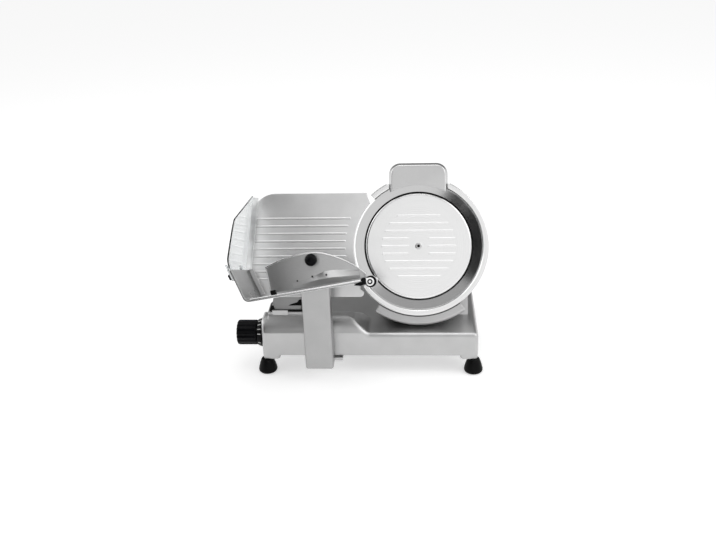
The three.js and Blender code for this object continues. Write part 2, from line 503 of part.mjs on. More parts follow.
add(slicer, 'carriage_glide', alongY(join(pin(GLIDE.radius, -17.5, -GLIDE.front, GLIDE.x, GLIDE.z, 24),
  pin(GLIDE.axle, -GLIDE.rear, -17, GLIDE.x, GLIDE.z, 16))), BLACK);

const underTray = () => toUpright(block(-300, 300, -TRAY.thick - GAP, 300, -300, 300), tray);
function arm() {
  const post = slab(rounded(ARM.left, ARM.front, ARM.right, ARM.back, ARM.corner), ARM.bottom, 240, 4);
  const lockHole = alongY(pin(LOCK.stem + GAP, -ARM.back - 1, 10, LOCK.x, LOCK.z));
  return cut(post, underTray(), lockHole);
}
add(slicer, 'carriage_arm', arm(), CAST);
const lockStem = pin(LOCK.stem, -14, 9, LOCK.x, LOCK.z, 20);
const lockNeck = pin(LOCK.stem * 2, -10, -ARM.back - GAP, LOCK.x, LOCK.z);
const lockHead = pin(LOCK.radius, -LOCK.rear, -ARM.back - GAP - 4, LOCK.x, LOCK.z, 28);
add(slicer, 'tray_lock_knob', alongY(join(lockStem, lockNeck, lockHead)), BLACK);

function trayPan() {
  const { left, right, thick, corner, wallX, wallY, back, front } = TRAY;
  const lean = Math.atan2(left - wallX, wallY);
  const bend = left + corner * (1 - Math.sin(lean)) / Math.cos(lean);
  const pan = new THREE.Shape();
  pan.moveTo(right, -thick);
  pan.lineTo(right, 0);
  pan.lineTo(bend, 0);
  pan.absarc(bend, corner, corner, -Math.PI / 2, lean - Math.PI, true);
  pan.lineTo(wallX, wallY);
  pan.lineTo(wallX - thick * Math.cos(lean), wallY - thick * Math.sin(lean));
  pan.absarc(bend, corner, corner + thick, lean - Math.PI, -Math.PI / 2, false);
  const sheet = slab(pan, back, front, 8);
  const lip = block(bend, right, -thick - 2, 2, front - 4, front);
  return join(sheet, lip);
}
add(tray, 'tray', trayPan(), CAST);
const stopHead = block(STOP.left, STOP.right, 2 + GAP, STOP.top, TRAY.front - STOP.depth / 2, TRAY.front);
const stopFoot = block(STOP.left, STOP.right, GAP, STOP.top, TRAY.front - STOP.depth, TRAY.front - 4 - GAP);
add(tray, 'tray_stop', join(stopHead, stopFoot), RUBBER);

// Clear hand guard above the tray's left wall, with two tabs outside the wall
const tabLean = TRAY.tilt + Math.atan2(TRAY.left - TRAY.wallX, TRAY.wallY);
const onTab = (geometry) => geometry.rotateZ(tabLean).translate(SHIELD.x + GAP, SHIELD.low, 0);
function handGuard() {
  const { x, lean, thick, low, tab, tabs, tabWidth, edge, back, high } = SHIELD;
  const side = outline([[back, -4], [142, -4], [166, 10], [168, 18], [156, 62], [148, 78], [back, high + 3]]);
  const panel = acrossTray(slab(side, 0, thick));
  const strip = block(-thick, edge, 0, high, back, back + thick);
  const upright = join(panel, strip).rotateZ(lean).translate(x, low + 1, 0);
  const feetOfPanel = tabs.map((from) => onTab(block(-thick - 1, -1, -tab, 8, from, from + tabWidth)));
  return join(upright, ...feetOfPanel);
}
add(leaning, 'hand_guard', handGuard(), CLEAR);
SHIELD.tabs.forEach((from, i) => {
  const head = alongX(pin(5, -SHIELD.thick - 5.5, -SHIELD.thick - 1 - GAP, 0, 0));
  add(leaning, `shield_screw_${i + 1}`, onTab(head.translate(0, -12, from + SHIELD.tabWidth / 2)), BLACK);
});

// Pusher: rod between two holders at the tray's right end, sleeve that slides on it, plate that swings about it
[['rear', TRAY.back], ['front', TRAY.front - HOLDER.thick]].forEach(([name, from]) => {
  const wedge = outline([[80, -5.4], [90.4, -5.4], [90.4, 3], [96, 5], [108, 4], [109, -9], [98, -12]]);
  const hole = pin(PUSHER.rod + GAP, TRAY.back + HOLDER.wall, TRAY.front - HOLDER.wall, PUSHER.x, PUSHER.y);
  add(tray, `rod_holder_${name}`, cut(slab(wedge, from, from + HOLDER.thick), hole), BLACK);
});
const rodEnd = HOLDER.wall + GAP;
add(tray, 'pusher_rod', pin(PUSHER.rod, TRAY.back + rodEnd, TRAY.front - rodEnd, PUSHER.x, PUSHER.y), STEEL);
const sleeveWaist = [SLEEVE.back + SLEEVE.collarWidth, SLEEVE.front - SLEEVE.collarWidth];
const sleeveProfile = [[PUSHER.rod + GAP, SLEEVE.back], [SLEEVE.collar, SLEEVE.back],
  [SLEEVE.collar, sleeveWaist[0]], [PUSHER.sleeve, sleeveWaist[0]], [PUSHER.sleeve, sleeveWaist[1]],
  [SLEEVE.collar, sleeveWaist[1]],
  [SLEEVE.collar, SLEEVE.front], [PUSHER.rod + GAP, SLEEVE.front]];
add(tray, 'pusher_sleeve', turned(sleeveProfile).translate(PUSHER.x, PUSHER.y, 0), BLACK);
function pusherPlate() {
  const { plate, thick } = PUSHER;
  const face = new THREE.Shape();
  face.moveTo(-62, 4);
  face.lineTo(92, 4);
  face.lineTo(96, 10);
  face.quadraticCurveTo(72, 40, 30, 56);
  face.quadraticCurveTo(-12, 66, -64, 48);
  face.quadraticCurveTo(-62.5, 30, -62, 4);
  const sheet = slab(face, plate, plate + thick, 12);
  const foldSide = outline([[4, plate + 1], [26, plate + 1], [10, plate + 14], [4, plate + 12]]);
  const fold = alongX(slab(foldSide, 16, 88));
  const hub = ring(PUSHER.sleeve + GAP, PUSHER.hub, sleeveWaist[0] + GAP, sleeveWaist[1] - GAP)
    .translate(PUSHER.x, PUSHER.y, 0);
  const horn = block(93, 103, -1, 12, plate - 6, plate + thick);
  const teeth = [[-15.2, 17], [9.8, 20], [33.1, 19]].map(([x, y]) => new THREE.ConeGeometry(3, 12, 12)
    .rotateX(-Math.PI / 2).translate(x, y, plate - 5));
  const knobHole = pin(PUSH_KNOB.stem + GAP, plate - 1, plate + 8, PUSH_KNOB.x, PUSH_KNOB.y, 20);
  const sleeveHole = pin(PUSHER.sleeve + GAP, SLEEVE.back, SLEEVE.front, PUSHER.x, PUSHER.y);
  return cut(join(sheet, fold, hub, horn, ...teeth), knobHole, sleeveHole);
}
add(tray, 'pusher_plate', pusherPlate(), STEEL);
const knobBack = PUSHER.plate + PUSHER.thick + GAP;
const knobProfile = [[0, PUSHER.plate], [PUSH_KNOB.stem, PUSHER.plate], [PUSH_KNOB.stem, knobBack],
  [6, knobBack], [7, knobBack + 8], [PUSH_KNOB.radius, knobBack + 13], [PUSH_KNOB.radius, knobBack + 20],
  [6, knobBack + 25], [0, knobBack + 26]];
add(tray, 'pusher_knob', turned(knobProfile).translate(PUSH_KNOB.x, PUSH_KNOB.y, 0), BLACK);

// Sharpener: housing on a post, two stones pushed by sprung buttons, lock knob
const { postRadius, lockU } = SHARPENER;
add(leaning, 'sharpener_post', alongY(pin(postRadius, -140, -88 - GAP, 0, SHARPENER.post)), STEEL);
function sharpenerHousing() {
  const { half, top, low, corner, front, back, wall, post, stoneX, stoneU, stem } = SHARPENER;
  const hood = slab(rounded(-half, low, half, top, corner), back, front, 8);
  const skirt = block(-half, half, low, low + corner + 4, back, front);
  const inside = block(-half + wall, half - wall, low - 5, top - wall, back + wall, front - wall);
  const bladeRoom = pin(BLADE.radius + 1.5, back - 1, front + 1, 0, 0, 60);
  const shell = cut(join(hood, skirt), inside, bladeRoom);
  const sleeve = alongY(pin(postRadius + 4, -138, -116, 0, post));
  const bridge = block(-8, 8, 124, 138, post, back + 1);
  const bore = alongY(pin(postRadius + GAP, -145, -100, 0, post));
  const stemHoles = [-stoneX, stoneX].map((x) => pin(stem + GAP, back - 1, back + wall + 1, x, stoneU));
  return cut(join(shell, sleeve, bridge), bore, ...stemHoles, pin(stem + GAP, post - 12, post - 7, 0, lockU));
}
add(leaning, 'sharpener_housing', sharpenerHousing(), CAST);
[['sharpening', -1], ['truing', 1]].forEach(([name, side]) => {
  const { stoneX, stoneU, stone, stem } = SHARPENER;
  const disc = pin(stone, -7, -2, side * stoneX, stoneU, 24);
  const hole = pin(stem + GAP, -8, 0, side * stoneX, stoneU);
  add(leaning, `${name}_stone`, cut(disc, hole), STONE);
  const shank = pin(stem, -32, -2.3, side * stoneX, stoneU, 20);
  const head = pin(stem + 4, -36, -28, side * stoneX, stoneU);
  add(leaning, `${name}_button`, join(shank, head), BLACK);
});
const lockShank = pin(SHARPENER.stem, -52, -47, 0, lockU, 20);
add(leaning, 'sharpener_lock_knob', join(lockShank, pin(8.5, -62, -48 - GAP, 0, lockU)), BLACK);

// Origin at the middle of the machine's footprint, on the table
slicer.updateMatrixWorld(true);
const extent = new THREE.Box3().setFromObject(slicer, true);
for (const child of slicer.children) {
  child.position.x -= (extent.min.x + extent.max.x) / 2;
  child.position.y -= (extent.min.y + extent.max.y) / 2;
  child.position.z -= extent.min.z;
}

export default slicer;
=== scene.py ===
"""Looks of a gravity-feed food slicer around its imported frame.

Pieces are drawn in millimetres in the slicer's own frames and placed in metres:
UPRIGHT stands on the table, LEANING lies in the blade's plane with its third axis to the operator,
TRAY follows the tray's floor, and ACROSS runs along the machine's length.
"""
import json
from math import atan2, cos, pi, radians, sin, sqrt, tan

import bmesh
import bpy
from mathutils import Matrix, Vector


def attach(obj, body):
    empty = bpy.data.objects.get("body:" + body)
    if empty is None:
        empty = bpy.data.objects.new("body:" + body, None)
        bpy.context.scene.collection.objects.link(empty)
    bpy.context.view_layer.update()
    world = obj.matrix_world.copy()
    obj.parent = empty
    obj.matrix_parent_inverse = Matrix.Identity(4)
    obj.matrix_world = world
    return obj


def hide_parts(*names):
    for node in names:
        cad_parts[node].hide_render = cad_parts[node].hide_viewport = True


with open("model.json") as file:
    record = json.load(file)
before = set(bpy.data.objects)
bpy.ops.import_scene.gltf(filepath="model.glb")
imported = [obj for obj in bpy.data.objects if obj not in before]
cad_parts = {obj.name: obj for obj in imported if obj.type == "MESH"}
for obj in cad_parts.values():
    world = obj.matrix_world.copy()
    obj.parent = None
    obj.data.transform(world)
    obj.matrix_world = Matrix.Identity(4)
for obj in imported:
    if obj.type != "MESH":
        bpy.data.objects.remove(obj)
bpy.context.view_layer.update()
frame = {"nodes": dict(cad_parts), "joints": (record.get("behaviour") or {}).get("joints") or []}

# Frames
TILT = radians(25)
TRAY_TILT = radians(9.7)
TRAY_ORIGIN = (-178, -72.6, 0)
BLADE_CENTRE = Vector((0, 82, 210))
BLADE_SPIN = next(joint for joint in frame["joints"] if joint["name"] == "blade_spin")
MILLIMETRES = Matrix.Scale(0.001, 4)
UPRIGHT = Matrix.Translation(Vector(BLADE_SPIN["pos_m"]) - BLADE_CENTRE / 1000) @ MILLIMETRES
LEANING = UPRIGHT @ Matrix.Translation(BLADE_CENTRE) @ Matrix.Rotation(pi / 2 - TILT, 4, "X")
TRAY = LEANING @ Matrix.Translation(TRAY_ORIGIN) @ Matrix.Rotation(TRAY_TILT, 4, "Z")
ALONG_X = Matrix(((0, 0, 1, 0), (1, 0, 0, 0), (0, 1, 0, 0), (0, 0, 0, 1)))
ALONG_Y = Matrix.Rotation(pi / 2, 4, "X")
ACROSS = UPRIGHT @ ALONG_X
IN_UPRIGHT = UPRIGHT.inverted()

# Places in millimetres that several pieces share
DIAL_AXIS = Matrix.Translation((38, 64, 0))
POST_AXIS = Matrix.Translation((0, 0, -38)) @ Matrix.Rotation(-pi / 2, 4, "X")
TRAY_LOCK_AXIS = Matrix.Translation((-171, 0, 128)) @ ALONG_Y
SWITCH_AXIS = Matrix.Translation((-20, 0, 56)) @ ALONG_Y
SWITCH_BUTTON_X = 15
STONE_X, STONE_Y = 24, 126
BULKHEAD_LEFT, BULKHEAD_RIGHT, BULKHEAD_RADIUS, BULKHEAD_BACK = -62, 88, 114, -64

# Camera, as the photograph was taken
IMAGE = (716, 540)
FOCAL = 870
YAW, ELEVATION, ROLL = radians(4), radians(25), radians(1.95)
SENSOR_WIDTH = 36
DISTANCE = 1509
BLADE_PIXEL = (418.57, 245.9)


# Finishes

def finish(name, **sockets):
    """A new material whose shader has these plain socket values."""
    made = bpy.data.materials.new(name)
    made.use_nodes = True
    shader = made.node_tree.nodes["Principled BSDF"]
    for socket, value in sockets.items():
        shader.inputs[socket.replace("_", " ")].default_value = value
    return made


def node(made, kind, links=None, **values):
    """A node in the material, its sockets set or linked by name, and its settings by keyword."""
    found = made.node_tree.nodes.new("ShaderNode" + kind)
    for setting, value in values.items():
        setattr(found, setting, value)
    for socket, source in (links or {}).items():
        if isinstance(source, bpy.types.NodeSocket):
            made.node_tree.links.new(source, found.inputs[socket])
        else:
            found.inputs[socket].default_value = source
    return found


def feed(made, socket, source):
    """Links a source to a socket of the shader."""
    shader = made.node_tree.nodes["Principled BSDF"]
    made.node_tree.links.new(source, shader.inputs[socket])


def on_piece(made, stretch=(1, 1, 1), centre=(0, 0, 0), turn=(0, 0, 0)):
    """Object coordinates in metres, centred, turned and stretched."""
    place = node(made, "TexCoord").outputs["Object"]
    centred = node(made, "VectorMath", {0: place, 1: centre}, operation="SUBTRACT").outputs[0]
    turned_to = node(made, "Mapping", {"Vector": centred, "Rotation": turn}).outputs[0]
    return node(made, "VectorMath", {0: turned_to, 1: stretch}, operation="MULTIPLY").outputs[0]


def grain(made, vector, scale, detail=3.0):
    """Noise of this many cells to a metre."""
    return node(made, "TexNoise", {"Vector": vector, "Scale": scale, "Detail": detail}).outputs["Fac"]


def shades(made, factor, low, high, start=0.3, end=0.7):
    """Two colours across a factor."""
    ramp = node(made, "ValToRGB", {"Fac": factor})
    ramp.color_ramp.elements[0].position, ramp.color_ramp.elements[1].position = start, end
    ramp.color_ramp.elements[0].color = (*low, 1)
    ramp.color_ramp.elements[1].color = (*high, 1)
    return ramp.outputs["Color"]


def spread(made, factor, low, high):
    """A value between two limits across a factor."""
    return node(made, "MapRange", {"Value": factor, "To Min": low, "To Max": high}).outputs["Result"]


def relief(made, height, distance):
    """Bump of this real depth in metres."""
    bump = node(made, "Bump", {"Height": height, "Distance": distance, "Strength": 1.0})
    feed(made, "Normal", bump.outputs["Normal"])


def grey(level):
    return (level, level, level)


def satin_aluminium(name, level, roughness, depth=0.00003):
    """Bead-blasted and anodised casting: even grey, fine pits, a little cloudiness."""
    made = finish(name, Metallic=1.0)
    place = on_piece(made)
    pits, cloud = grain(made, place, 1400, 2), grain(made, place, 22, 4)
    feed(made, "Base Color", shades(made, cloud, grey(level * 0.93), grey(level * 1.04)))
    feed(made, "Roughness", spread(made, cloud, roughness - 0.05, roughness + 0.07))
    relief(made, pits, depth)
    return made


def turned_metal(name, level, roughness, pitch, depth):
    """Metal finished on a lathe or a grinder: fine rings about the blade's axis."""
    made = finish(name, Metallic=1.0)
    place = on_piece(made, centre=BLADE_SPIN["pos_m"], turn=(TILT - pi / 2, 0, 0))
    flat = node(made, "VectorMath", {0: place, 1: (1, 1, 0)}, operation="MULTIPLY").outputs[0]
    radius = node(made, "VectorMath", {0: flat}, operation="LENGTH").outputs["Value"]
    rings = node(made, "TexNoise", {"W": radius, "Scale": 1 / pitch, "Detail": 2.0},
                 noise_dimensions="1D").outputs["Fac"]
    cloud = grain(made, place, 30, 3)
    feed(made, "Base Color", shades(made, rings, grey(level * 0.9), grey(level * 1.03)))
    feed(made, "Roughness", spread(made, cloud, roughness - 0.04, roughness + 0.05))
    relief(made, rings, depth)
    return made


def brushed_metal(name, level, roughness, stretch, depth=0.000006):
    """Sheet and bar with a straight grain: scratches long along one direction."""
    made = finish(name, Metallic=1.0)
    scratches = grain(made, on_piece(made, stretch), 2200, 2)
    cloud = grain(made, on_piece(made), 25, 3)
    feed(made, "Base Color", shades(made, scratches, grey(level * 0.95), grey(level * 1.03)))
    feed(made, "Roughness", spread(made, cloud, roughness - 0.05, roughness + 0.06))
    relief(made, scratches, depth)
    return made


def moulded(name, colour, roughness, scale=2200, depth=0.00002, clearness=0.0):
    """Moulded plastic or rubber: spark-eroded texture, slightly uneven gloss."""
    made = finish(name, Specular_IOR_Level=0.08, Transmission_Weight=clearness)
    place = on_piece(made)
    texture, cloud = grain(made, place, scale, 2), grain(made, place, 40, 3)
    feed(made, "Base Color", shades(made, cloud, tuple(c * 0.8 for c in colour), tuple(c * 1.2 for c in colour)))
    feed(made, "Roughness", spread(made, cloud, roughness - 0.06, roughness + 0.08))
    relief(made, texture, depth)
    return made


def clear_guard_plastic():
    """Clear sheet with faint rub marks that catch the light."""
    made = finish("clear_guard_plastic", Transmission_Weight=1.0, IOR=1.46)
    place = on_piece(made)
    drawn_out = node(made, "VectorMath", {0: place, 1: (1, 1, 0.12)}, operation="MULTIPLY").outputs[0]
    rubs = grain(made, drawn_out, 260)
    feed(made, "Base Color", shades(made, rubs, (0.86, 0.89, 0.9), (0.97, 0.98, 0.98)))
    feed(made, "Roughness", spread(made, rubs, 0.02, 0.14))
    relief(made, rubs, 0.00001)
    return made


def grit_stone():
    """Bonded abrasive: close grains of uneven colour."""
    made = finish("grit_stone")
    grit = node(made, "TexVoronoi", {"Vector": on_piece(made), "Scale": 1500.0}).outputs["Distance"]
    feed(made, "Base Color", shades(made, grit, (0.28, 0.17, 0.12), (0.62, 0.45, 0.34), 0.1, 0.7))
    feed(made, "Roughness", spread(made, grit, 0.8, 0.95))
    relief(made, grit, 0.0002)
    return made


CAST = satin_aluminium("cast_aluminium", 0.52, 0.36)
ARM = satin_aluminium("arm_aluminium", 0.44, 0.38)
PLATE = satin_aluminium("plate_aluminium", 0.80, 0.32, 0.00002)
HOUSING = satin_aluminium("housing_aluminium", 0.62, 0.30, 0.00002)
# A lighter copy of the satin aluminium: painted highlight on the tray's front lip and the pusher's rim; bright
# metal on the rod holders' eyes.
POLISHED_AND_HIGHLIGHT = satin_aluminium("polished_and_painted_highlight", 0.86, 0.18, 0.00001)
COVER = turned_metal("cover_aluminium", 0.86, 0.24, 0.0009, 0.000006)
RING = turned_metal("ring_aluminium", 0.84, 0.20, 0.0012, 0.000004)
BLADE_STEEL = turned_metal("blade_steel", 0.62, 0.15, 0.0007, 0.000005)
TRAY_METAL = brushed_metal("tray_aluminium", 0.42, 0.28, (1, 0.08, 0.08))
SHEET = brushed_metal("brushed_steel", 0.58, 0.36, (0.06, 1, 1))
BAR = brushed_metal("bright_steel", 0.58, 0.22, (1, 1, 0.1), 0.000004)
BLACK = moulded("black_plastic", (0.006, 0.006, 0.007), 0.34)
KNOB = moulded("black_knob_plastic", (0.004, 0.004, 0.005), 0.28, 1600, 0.00001)
RUBBER = moulded("black_rubber", (0.006, 0.006, 0.006), 0.36, 1200, 0.00003)
GREEN = moulded("green_plastic", (0.02, 0.26, 0.07), 0.32)
RED = moulded("red_plastic", (0.46, 0.03, 0.02), 0.32)
PAINT = moulded("white_paint", (0.78, 0.78, 0.76), 0.45)
FROSTED = moulded("frosted_edge", (0.93, 0.94, 0.94), 0.42, 900, 0.00003, 0.7)
BOARD = moulded("circuit_board", (0.03, 0.14, 0.06), 0.4, 700, 0.0001)
WINDING = brushed_metal("copper_winding", 0.3, 0.4, (0.2, 1, 1), 0.0002)
CLEAR = clear_guard_plastic()
STONE = grit_stone()

NODE_FINISH = {
    "cast_aluminium": CAST, "polished_aluminium": RING, "steel": BAR, "black_plastic": BLACK, "rubber": RUBBER,
    "clear_plastic": CLEAR, "green_plastic": GREEN, "red_plastic": RED, "grit_stone": STONE,
    "copper_winding": WINDING, "circuit_board": BOARD,
}


# Modelling helpers

SHARP_ANGLE = radians(40)
MERGE_DISTANCE = 1e-4


def arc(radius, start, end, steps, centre=(0, 0)):
    """Points on an arc, its angles in degrees."""
    angles = [radians(start + (end - start) * i / steps) for i in range(steps + 1)]
    return [(centre[0] + radius * cos(a), centre[1] + radius * sin(a)) for a in angles]


def corners_of(x0, y0, x1, y1, radius, steps=8):
    """Outline of a rectangle with round corners."""
    low_x, low_y, high_x, high_y = x0 + radius, y0 + radius, x1 - radius, y1 - radius
    corners = ((-90, (high_x, low_y)), (0, (high_x, high_y)), (90, (low_x, high_y)), (180, (low_x, low_y)))
    return [spot for start, centre in corners for spot in arc(radius, start, start + 90, steps, centre)]


def plate(points, low, high):
    """A plate with this outline, raised along the third axis."""
    bm = bmesh.new()
    face = bm.faces.new([bm.verts.new((x, y, low)) for x, y in points])
    raised = bmesh.ops.extrude_face_region(bm, geom=[face])["geom"]
    bmesh.ops.translate(bm, vec=(0, 0, high - low), verts=[v for v in raised if isinstance(v, bmesh.types.BMVert)])
    bmesh.ops.remove_doubles(bm, verts=bm.verts, dist=MERGE_DISTANCE)
    bmesh.ops.recalc_face_normals(bm, faces=bm.faces)
    return bm


def bar(x0, x1, y0, y1, z0, z1):
    """A plain bar between these limits."""
    bm = bmesh.new()
    bmesh.ops.create_cube(bm, size=1)
    bmesh.ops.scale(bm, vec=(x1 - x0, y1 - y0, z1 - z0), verts=bm.verts)
    bmesh.ops.translate(bm, vec=((x0 + x1) / 2, (y0 + y1) / 2, (z0 + z1) / 2), verts=bm.verts)
    return bm


def turned(profile, steps=64):
    """A turned piece: (radius, height) points that start and end on the axis, or a closed loop round a bore."""
    bm = bmesh.new()
    verts = [bm.verts.new((r, 0, h)) for r, h in profile]
    edges = [bm.edges.new(pair) for pair in zip(verts, verts[1:])]
    if profile[0][0] > 0 and profile[-1][0] > 0:
        edges.append(bm.edges.new((verts[-1], verts[0])))
    bmesh.ops.spin(bm, geom=verts + edges, cent=(0, 0, 0), axis=(0, 0, 1), angle=2 * pi, steps=steps,
                   use_merge=True)
    bmesh.ops.remove_doubles(bm, verts=bm.verts, dist=MERGE_DISTANCE)
    bmesh.ops.recalc_face_normals(bm, faces=bm.faces)
    return bm


def pin(radius, low, high, steps):
    """A plain round bar on the third axis."""
    return turned([(0, low), (radius, low), (radius, high), (0, high)], steps)


def tube(inner, outer, low, high, steps):
    """A plain tube on the third axis."""
    return turned([(inner, low), (outer, low), (outer, high), (inner, high)], steps)


def swept(profile, start, end, steps):
    """A closed (radius, height) section swept between two angles in degrees, with capped ends."""
    bm = bmesh.new()
    face = bm.faces.new([bm.verts.new((r, 0, h)) for r, h in profile])
    bmesh.ops.rotate(bm, verts=bm.verts, cent=(0, 0, 0), matrix=Matrix.Rotation(radians(start), 3, "Z"))
    bmesh.ops.spin(bm, geom=[face], cent=(0, 0, 0), axis=(0, 0, 1), angle=radians(end - start), steps=steps)
    bmesh.ops.recalc_face_normals(bm, faces=bm.faces)
    return bm


def over(height):
    """Picks the edges above this height."""
    return lambda edge: all(v.co.z > height for v in edge.verts)


def under(height):
    """Picks the edges below this height."""
    return lambda edge: all(v.co.z < height for v in edge.verts)


def level(edge):
    """Whether an edge stays at one height."""
    return abs(edge.verts[0].co.z - edge.verts[1].co.z) < 0.1


def along(edge, axis):
    """Whether an edge runs along this axis."""
    return abs((edge.verts[0].co - edge.verts[1].co).normalized()[axis]) > 0.99


def soften(bm, size, segments=3, angle=30, where=lambda edge: True, clamp=True):
    """Rounds the edges that turn more than the angle."""
    edges = [e for e in bm.edges if len(e.link_faces) == 2 and e.calc_face_angle() > radians(angle) and where(e)]
    bmesh.ops.bevel(bm, geom=edges, offset=size, offset_type="OFFSET", segments=segments, profile=0.5,
                    affect="EDGES", material=-1, clamp_overlap=clamp)
    return bm


def lobed(radius, lobes, wave, steps=10):
    """Outline of a grip with this many lobes."""
    angles = [2 * pi * i / (lobes * steps) for i in range(lobes * steps)]
    reaches = [radius + wave * cos(lobes * a) for a in angles]
    return [(reach * cos(a), reach * sin(a)) for reach, a in zip(reaches, angles)]


def grip(radius, lobes, wave, low, high, round_over):
    """A lobed grip with round edges at both ends."""
    return soften(plate(lobed(radius, lobes, wave), low, high), round_over, 5, where=level, clamp=False)


def at(x, y, z=0):
    """A shift by this much."""
    return Matrix.Translation((x, y, z))


def polar(radius, angle):
    """A shift by this radius at an angle in degrees."""
    return at(radius * cos(radians(angle)), radius * sin(radians(angle)))


def moved(bm, matrix):
    """The shape itself, moved."""
    bmesh.ops.transform(bm, matrix=matrix, verts=bm.verts)
    return bm


def split(bm, spot, normal, keep_outer=True):
    """Divides the faces along a plane, or takes off what lies beyond it and closes the cut."""
    bmesh.ops.bisect_plane(bm, geom=bm.verts[:] + bm.edges[:] + bm.faces[:], plane_co=spot, plane_no=normal,
                           clear_outer=not keep_outer)
    if not keep_outer:
        bmesh.ops.holes_fill(bm, edges=[e for e in bm.edges if e.is_boundary])


def together(*parts):
    """Several shapes in one mesh."""
    whole = bmesh.new()
    for part in parts:
        mesh = bpy.data.meshes.new("part")
        part.to_mesh(mesh)
        part.free()
        whole.from_mesh(mesh)
        bpy.data.meshes.remove(mesh)
    return whole


def cut(bm, *tools):
    """Takes the tools out of the shape with an exact boolean."""
    mesh = bpy.data.meshes.new("cut")
    bm.to_mesh(mesh)
    bm.free()
    holder = bpy.data.objects.new("cut", mesh)
    bpy.context.scene.collection.objects.link(holder)
    cutters = []
    for tool in tools:
        cutter_mesh = bpy.data.meshes.new("cutter")
        tool.to_mesh(cutter_mesh)
        tool.free()
        cutter = bpy.data.objects.new("cutter", cutter_mesh)
        bpy.context.scene.collection.objects.link(cutter)
        step = holder.modifiers.new("cut", "BOOLEAN")
        step.object, step.operation, step.solver = cutter, "DIFFERENCE", "EXACT"
        cutters.append(cutter)
    result = bmesh.new()
    result.from_object(holder, bpy.context.evaluated_depsgraph_get())
    for scrap in (holder, *cutters):
        scrap_mesh = scrap.data
        bpy.data.objects.remove(scrap)
        bpy.data.meshes.remove(scrap_mesh)
    return result


def place(bm, name, where, look, body, *nodes):
    """Puts a shape into the scene as a piece of the body, in the stead of CAD nodes."""
    mesh = bpy.data.meshes.new(name)
    moved(bm, where).to_mesh(mesh)
    bm.free()
    mesh.shade_smooth()
    mesh.set_sharp_from_angle(angle=SHARP_ANGLE)
    mesh.materials.append(look)
    made = bpy.data.objects.new(name, mesh)
    bpy.context.scene.collection.objects.link(made)
    weighted = made.modifiers.new("even_shading", "WEIGHTED_NORMAL")
    weighted.keep_sharp = True
    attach(made, body)
    if nodes:
        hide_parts(*nodes)


# Blade, cover and ring guard

RIB_PITCH, RIB_WIDTH, RIBS = 13.2, 3.6, 9


def rib(x0, x1, y, low, high):
    """A raised bar with a round top and round ends."""
    half = RIB_WIDTH / 2
    bm = plate(corners_of(x0, y - half, x1, y + half, half - 0.1, 5), low, high)
    return soften(bm, 1.1, where=over(high - 0.01))


def blade():
    """Hollow-ground disc with a bevelled edge."""
    profile = [(16, -11), (94, -11), (98, -9.2), (106, -4.5), (109.6, -0.9), (110, -0.5), (109.6, -0.2),
               (108.2, -0.6), (94.6, -4.9), (93.6, -7.2), (16, -7.2)]
    place(turned(profile, 192), "blade_disc", LEANING, BLADE_STEEL, "blade", "blade")


def blade_cover():
    """Turned cover with ribs about its socket screw; black rubber paints the shade in the screw's socket and in the
    gap round the cover's edge.
    """
    rib_reach, screw_room = 65, 17
    rim = [(3.3, -6.6), (91, -6.6), (92, -5.2), (91.8, -3.8), (91, -2.8), (89.6, -2.2), (88, -2), (3.3, -2)]
    ribs = []
    for i in range(RIBS):
        y = (i - (RIBS - 1) / 2) * RIB_PITCH
        reach = sqrt(rib_reach ** 2 - y ** 2)
        spans = [(-reach, reach)] if abs(y) > screw_room else [(-reach, -screw_room), (screw_room, reach)]
        ribs += [rib(x0, x1, y, -3, -1.45) for x0, x1 in spans]
    place(together(turned(rim, 160), *ribs), "ribbed_cover", LEANING, COVER, "root", "blade_cover")
    head = turned([(0, -6.5), (3, -6.5), (3, -1.7), (6, -1.7), (6, -0.4), (5.4, 0.2), (4.2, 0.5), (0, 0.5)], 40)
    socket = plate(arc(2.9, 0, 300, 5), -3.6, 2)
    place(cut(head, socket), "socket_cover_screw", LEANING, BAR, "root", "cover_screw")
    # A black plug low in the screw's socket: painted shade for the dark of the hole.
    place(pin(2.5, -4, -1.2, 24), "screw_socket_shadow_plug", LEANING, RUBBER, "root")
    # A black ring in the groove between cover and blade: painted shade for the dark gap.
    place(tube(92.1, 93.5, -7.1, -5.9, 160), "cover_edge_shadow_ring", LEANING, RUBBER, "root")


def ring_guard():
    """Channel round the blade, open at the left for the cut and let down at the top for the sharpener."""
    low_end, notch_start, notch_end, high_end, seam = -143, 63, 117, 133, 0.02
    section = [(96, -21), (120, -21), (121, -20), (121, 2), (120.4, 3.4), (119, 4), (112.6, 4), (111.5, 3),
               (111.5, -15), (96, -15)]
    low_section = [(96, -21), (120, -21), (121, -20), (121, -12), (111.5, -12), (111.5, -15), (96, -15)]
    channel = [swept(section, low_end, notch_start, 100),
               swept(low_section, notch_start + seam, notch_end - seam, 30),
               swept(section, notch_end, high_end, 10)]
    skirt = swept([(117, -55.7), (121, -55.7), (121, -20.02), (117, -20.02)], -50, 62, 56)
    lug = soften(swept([(111.6, -6), (119, -6), (119, 6), (111.6, 6)], 212, 218, 4), 1, 2)
    place(together(*channel, skirt, lug), "guard_channel", LEANING, RING, "root", "ring_guard")


def guard_end_screw():
    """Slotted screw in the guard's lug."""
    radius, seat, top, shank = 3.2, 6.3, 7.8, 3.2 * 0.6
    head = turned([(0, seat - 5), (shank, seat - 5), (shank, seat), (radius, seat), (radius, top - 0.7),
                   (radius - 0.7, top), (0, top)], 28)
    screw = cut(head, bar(-radius, radius, -0.5, 0.5, top - 0.8, top + 1))
    place(moved(screw, polar(115.3, 215)), "guard_lug_screw", LEANING, BAR, "root", "guard_end_screw")


blade()
blade_cover()
ring_guard()
guard_end_screw()


# Sharpener

